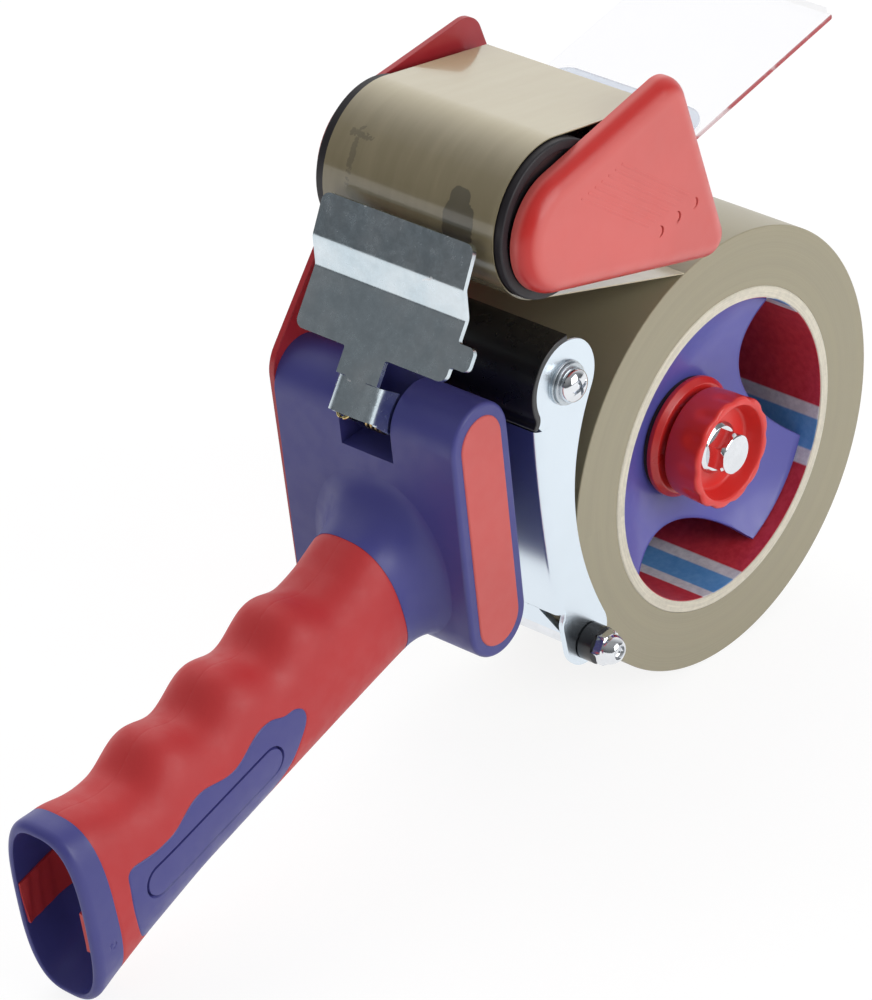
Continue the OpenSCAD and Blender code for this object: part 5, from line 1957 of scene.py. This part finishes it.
@dataclass
class Lever:
    """Finger lever of bent sheet on its pin."""

    # Corners of the sheet's middle from its top edge down, levels of its edges, and the ear with its lower and
    # upper edge as shares of the straight part
    bends: tuple[Pair, ...] = ((-90.0, 86.5), (-93.9, 76.9), (-93.0, 69.5), (-100.4, 56.5))
    near: float = -23.2
    far: float = 21.2
    ear: float = 5.0
    ear_at: Pair = (0.26, 0.64)
    # Tab over its flanges, its neck, the slits beside the neck, the sheet and its bends
    tab: float = 13.4
    tab_y: float = 0.1
    tab_l: float = 14.6
    neck_l: float = 6.4
    neck: Pair = (-6.0, 6.0)
    slit: float = 0.15
    thick: float = 1.3
    bend_r: float = 2.4
    roll_r: float = 3.7
    flange: float = 5.0
    # Return spring
    coil_y: float = 0.25
    coil_r: float = 3.1
    pitch: float = 1.4
    turns: int = 4
    wire: float = 0.8

    def slope(self) -> Pair:
        """Direction down the tab."""
        way = np.array(self.bends[3]) - np.array(self.bends[2])
        return tuple((way / np.linalg.norm(way)).tolist())

    def down(self, distance: float, back: float = 0.0) -> Pair:
        """Point at a distance down the tab from its foot and back from its middle."""
        x, z = self.slope()
        return along(along(self.bends[3], (x, z), distance), (z, -x), -back)

    def path(self) -> list[Pair]:
        """Middle of the sheet from its top edge to the end of the tab, with rounded bends."""
        corners = [*self.bends[:3], self.down(self.tab_l), (-60.0, 60.0)]
        return rounded(corners, [0, self.bend_r, self.bend_r, 0, 0], 8)[:-1]

    def wing(self, out: float) -> Triple:
        """Where a spot of the blank past the tab's bend line comes to lie.

        Args:
            out: Distance past the bend line on the flat blank.

        Returns:
            Distance across, depth behind the sheet and angle turned in radians.
        """
        radius = self.roll_r - self.thick / 2
        angle = min(out / radius, math.pi / 2)
        rest = out - angle * radius
        c, s = math.cos(angle), math.sin(angle)
        return radius * s + rest * c, radius * (1 - c) + rest * s, angle

    def build(self) -> None:
        """Builds the lever and its return spring."""
        lever = self.bent()
        self.add_cheeks(lever)
        lever.piece(Body.LEVER, Coat.LEVER, "lever_zinc", ["brake_lever"], sharp=38, rim=0.25)
        start = self.coil_y - self.pitch * self.turns / 2
        coil = helix(Place.LEVER_PIN.value, self.coil_r, start, self.pitch, self.turns, 160)
        Draft("lever_coil").tube(coil, self.wire / 2).piece(
            Body.FRAME, Coat.SPRING, "spring", ["lever_spring"], sharp=70)
        bow = ((1.6, -5.0), (1.6, -1.0), (1.5, 0.2), (1.1, 0.7), (0.5, 0.85))
        bow += tuple((-across, down) for across, down in reversed(bow))
        hook = raised((self.down(self.tab_l + down, 1.05), 1.6 + across) for across, down in bow)
        Draft("spring_hook").tube(hook, self.wire / 2).piece(Body.LEVER, Coat.SPRING, "spring", sharp=70)

    def bent(self) -> Draft:
        """Bends the lever from one flat blank.

        Returns:
            The draft of the lever.
        """
        path = np.array(self.path())
        run = run_along(path)
        total = float(run[-1])
        foot = total - self.tab_l
        shoulder = foot + self.neck_l
        slit = shoulder - self.slit
        straight = math.dist(self.bends[2], self.bends[3])
        low, high = (foot - straight * share for share in self.ear_at)
        bend = self.tab / 2 - self.roll_r
        arc_l = (self.roll_r - self.thick / 2) * math.pi / 2
        wide, c, ear = bend + arc_l + self.flange, self.tab_y, self.near - self.ear
        left, right = self.neck
        corners = (
            (self.near, 0.0, 2.2), (self.near, high, 0.8), (ear, high, 1.6), (ear, low, 1.6),
            (self.near, low, 0.8), (self.near, foot, 2.2), (left, foot, 0.6), (left, slit, 0.1),
            (c - bend, slit, 0.0), (c - bend, shoulder, 0.0), (c - wide, shoulder, 0.5), (c - wide, total, 0.5),
            (c + wide, total, 0.5), (c + wide, shoulder, 0.5), (c + bend, shoulder, 0.0), (c + bend, slit, 0.0),
            (right, slit, 0.1), (right, foot, 0.6), (self.far, foot, 2.2), (self.far, 0.0, 2.2))
        blank = rounded([corner[:2] for corner in corners], [corner[2] for corner in corners])

        def lay(y: float, s: float) -> tuple[Triple, Triple]:
            """Lays a spot of the blank on the bent sheet.

            Args:
                y: Place across the blank.
                s: Distance along the path.

            Returns:
                Point and normal of the sheet's middle.
            """
            k = int(np.clip(np.searchsorted(run, s) - 1, 0, len(run) - 2))
            t = (s - run[k]) / (run[k + 1] - run[k])
            x, z = (path[k] + (path[k + 1] - path[k]) * t).tolist()
            before, after = path[max(k - 1, 0) + 1] - path[max(k - 1, 0)], path[k + 1] - path[k]
            d = after if t > 1e-6 else before + after
            d = d / np.linalg.norm(d)
            normal = (float(d[1]), float(-d[0]))
            past = abs(y - c) - bend
            if s <= (slit + shoulder) / 2 or past <= 0:
                return (x, y, z), (normal[0], 0.0, normal[1])
            across, depth, angle = self.wing(past)
            side = math.copysign(1.0, y - c)
            spot = along((x, z), normal, -depth)
            return ((spot[0], c + side * (bend + across), spot[1]),
                    (normal[0] * math.cos(angle), side * math.sin(angle), normal[1] * math.cos(angle)))

        creases = [c + side * (bend + arc_l * k / 8) for side in (-1, 1) for k in range(9)]
        return Draft("finger_lever").bent_sheet(blank, lay, self.thick, run[1:-1].tolist(), creases)

    def add_cheeks(self, lever: Draft) -> None:
        """Adds the cheeks that hold the pin to the lever.

        Args:
            lever: Draft of the lever.
        """
        x, z = self.slope()
        top, end = self.down(self.neck_l + 0.5), self.down(self.tab_l)
        cheek = belt(((*Place.LEVER_PIN.value, 4.0), (*top, 0.5), (*end, 0.5)))
        cheek = [along(p, (z, -x), -self.roll_r) for p in cheek]
        sunk = 0.06
        for y in (self.tab_y - self.tab / 2 + sunk, self.tab_y + self.tab / 2 - self.thick + sunk):
            lever.slab(cheek, y, y + self.thick - 2 * sunk, low=0.2, high=0.2)

    def dress(self) -> None:
        """Dresses the pin."""
        dress(Coat.ZINC, "lever_pin")


@dataclass
class SidePlate:
    """Painted plate that carries everything, with its screws."""

    def dress(self) -> None:
        """Dresses the plate and the screws."""
        dress(Coat.PLATE, "side_plate")
        dress(Coat.ZINC, "handle_screws")


@dataclass
class Studio:
    """Camera, lights, floor and surroundings."""

    # Camera: place in the row frame in metres, direction of its view and of the picture's top, focal length;
    # then the direction of the white backdrop's middle and the point that the lamps face
    eye: Triple = (-0.77733, -0.68859, 0.67996)
    ahead: Triple = (0.64565, 0.57103, -0.50700)
    over: Triple = (0.40095, 0.31155, 0.86149)
    lens: float = 188.12
    backdrop: Triple = (0.697, 0.597, 0.398)
    aim: Triple = (0.0, 0.0, 0.07)

    def build(self) -> None:
        """Sets up the whole studio."""
        bpy.context.scene.view_settings.view_transform = "Standard"
        self.build_camera()
        self.build_floor()
        self.build_world()
        self.lamp("key_panel", (0.25, -1.25, 0.6), 0.9, 10.0)
        self.lamp("back_panel", (0.15, 0.95, 1.05), 1.4, 7.0, mirrored=False)
        self.lamp("left_panel", (-1.25, -0.1, 0.45), 0.5, 2.0, mirrored=False)

    def build_camera(self) -> None:
        """Sets the camera where the photograph was taken."""
        data = bpy.data.cameras.new("camera")
        data.lens, data.sensor_width, data.sensor_fit = self.lens, 36.0, "AUTO"
        data.clip_start, data.clip_end = 0.05, 20.0
        camera = bpy.data.objects.new("camera", data)
        ahead, over = Vector(self.ahead).normalized(), Vector(self.over)
        right = ahead.cross(over).normalized()
        over = right.cross(ahead)
        turn = Matrix((right, over, -ahead)).transposed().to_4x4()
        camera.matrix_world = Matrix.Translation(self.eye) @ turn
        bpy.context.scene.collection.objects.link(camera)
        bpy.context.scene.camera = camera

    def build_floor(self) -> None:
        """Lays a pale floor that shows the object's shadow."""
        work = bmesh.new()
        bmesh.ops.create_grid(work, x_segments=24, y_segments=24, size=4.0)
        mesh = bpy.data.meshes.new("floor")
        work.to_mesh(mesh)
        work.free()
        floor = bpy.data.objects.new("floor", mesh)
        bpy.context.scene.collection.objects.link(floor)
        w = Weave(bpy.data.materials.new("floor_paper"))
        tone = w.mix(w.noise(30.0, 3.0), srgb((232, 232, 232)), srgb((240, 240, 240)))
        paper = w.node("BsdfDiffuse", {"Color": tone})
        glow = w.node("Emission", {"Color": WHITE, "Strength": 1.1})
        path = w.node("LightPath")
        mirrored = w.most(path.outputs["Is Glossy Ray"], path.outputs["Is Transmission Ray"])
        seen = w.most(path.outputs["Is Camera Ray"], mirrored)
        share = w.times(seen, 0.78)
        mesh.materials.append(w.close(w.node("MixShader", {0: share, 1: paper.outputs[0], 2: glow.outputs[0]})))

    def build_world(self) -> None:
        """Surrounds the object with white for the camera, and else with a white backdrop in a grey room."""
        world = bpy.data.worlds.new("studio")
        bpy.context.scene.world = world
        w = Weave(world)
        way = w.node("TexCoord").outputs["Generated"]
        height = w.node("SeparateXYZ", {0: way}).outputs[2]
        toward = w.node("VectorMath", {0: way, 1: self.backdrop}, operation="DOT_PRODUCT").outputs["Value"]
        room = w.mix(w.band(height, -0.1, 1.0), (0.125, 0.132, 0.14, 1.0), (0.47, 0.47, 0.47, 1.0))
        cloth = w.mix(w.band(toward, 0.42, 0.97), (0.62, 0.62, 0.63, 1.0), (1.5, 1.5, 1.5, 1.0))
        tone = w.mix(w.band(toward, 0.33, 0.43), room, cloth)
        soft = w.node("Background", {"Color": tone, "Strength": 0.75})
        white = w.node("Background", {"Color": WHITE, "Strength": 1.0})
        path = w.node("LightPath")
        seen = w.most(path.outputs["Is Camera Ray"], path.outputs["Is Transmission Ray"])
        mixed = w.node("MixShader", {0: seen, 1: soft.outputs[0], 2: white.outputs[0]})
        w.node("OutputWorld", {"Surface": mixed.outputs[0]})

    def lamp(self, name: str, place: Triple, size: float, power_w: float, mirrored: bool = True) -> None:
        """Hangs a square soft panel that faces the object.

        Args:
            name: Name of the lamp.
            place: Where it hangs.
            size: Side of the panel in metres.
            power_w: Power in watts.
            mirrored: Whether glossy pieces show it.
        """
        data = bpy.data.lights.new(name, "AREA")
        data.shape, data.size, data.energy = "SQUARE", size, power_w
        lamp = bpy.data.objects.new(name, data)
        lamp.location = place
        lamp.visible_glossy = mirrored
        way = Vector(self.aim) - Vector(place)
        lamp.rotation_euler = way.to_track_quat("-Z", "Y").to_euler()
        bpy.context.scene.collection.objects.link(lamp)


def main() -> None:
    """Builds and dresses the dispenser and sets up the studio."""
    logging.basicConfig(level=logging.INFO, format="%(message)s")
    SidePlate().dress()
    Handle().build()
    for group in (RollerEnd(), TapeRoll(), Yoke(), Lever()):
        group.build()
        group.dress()
    Brake().build()
    Studio().build()


if __name__ == "__main__":
    main()
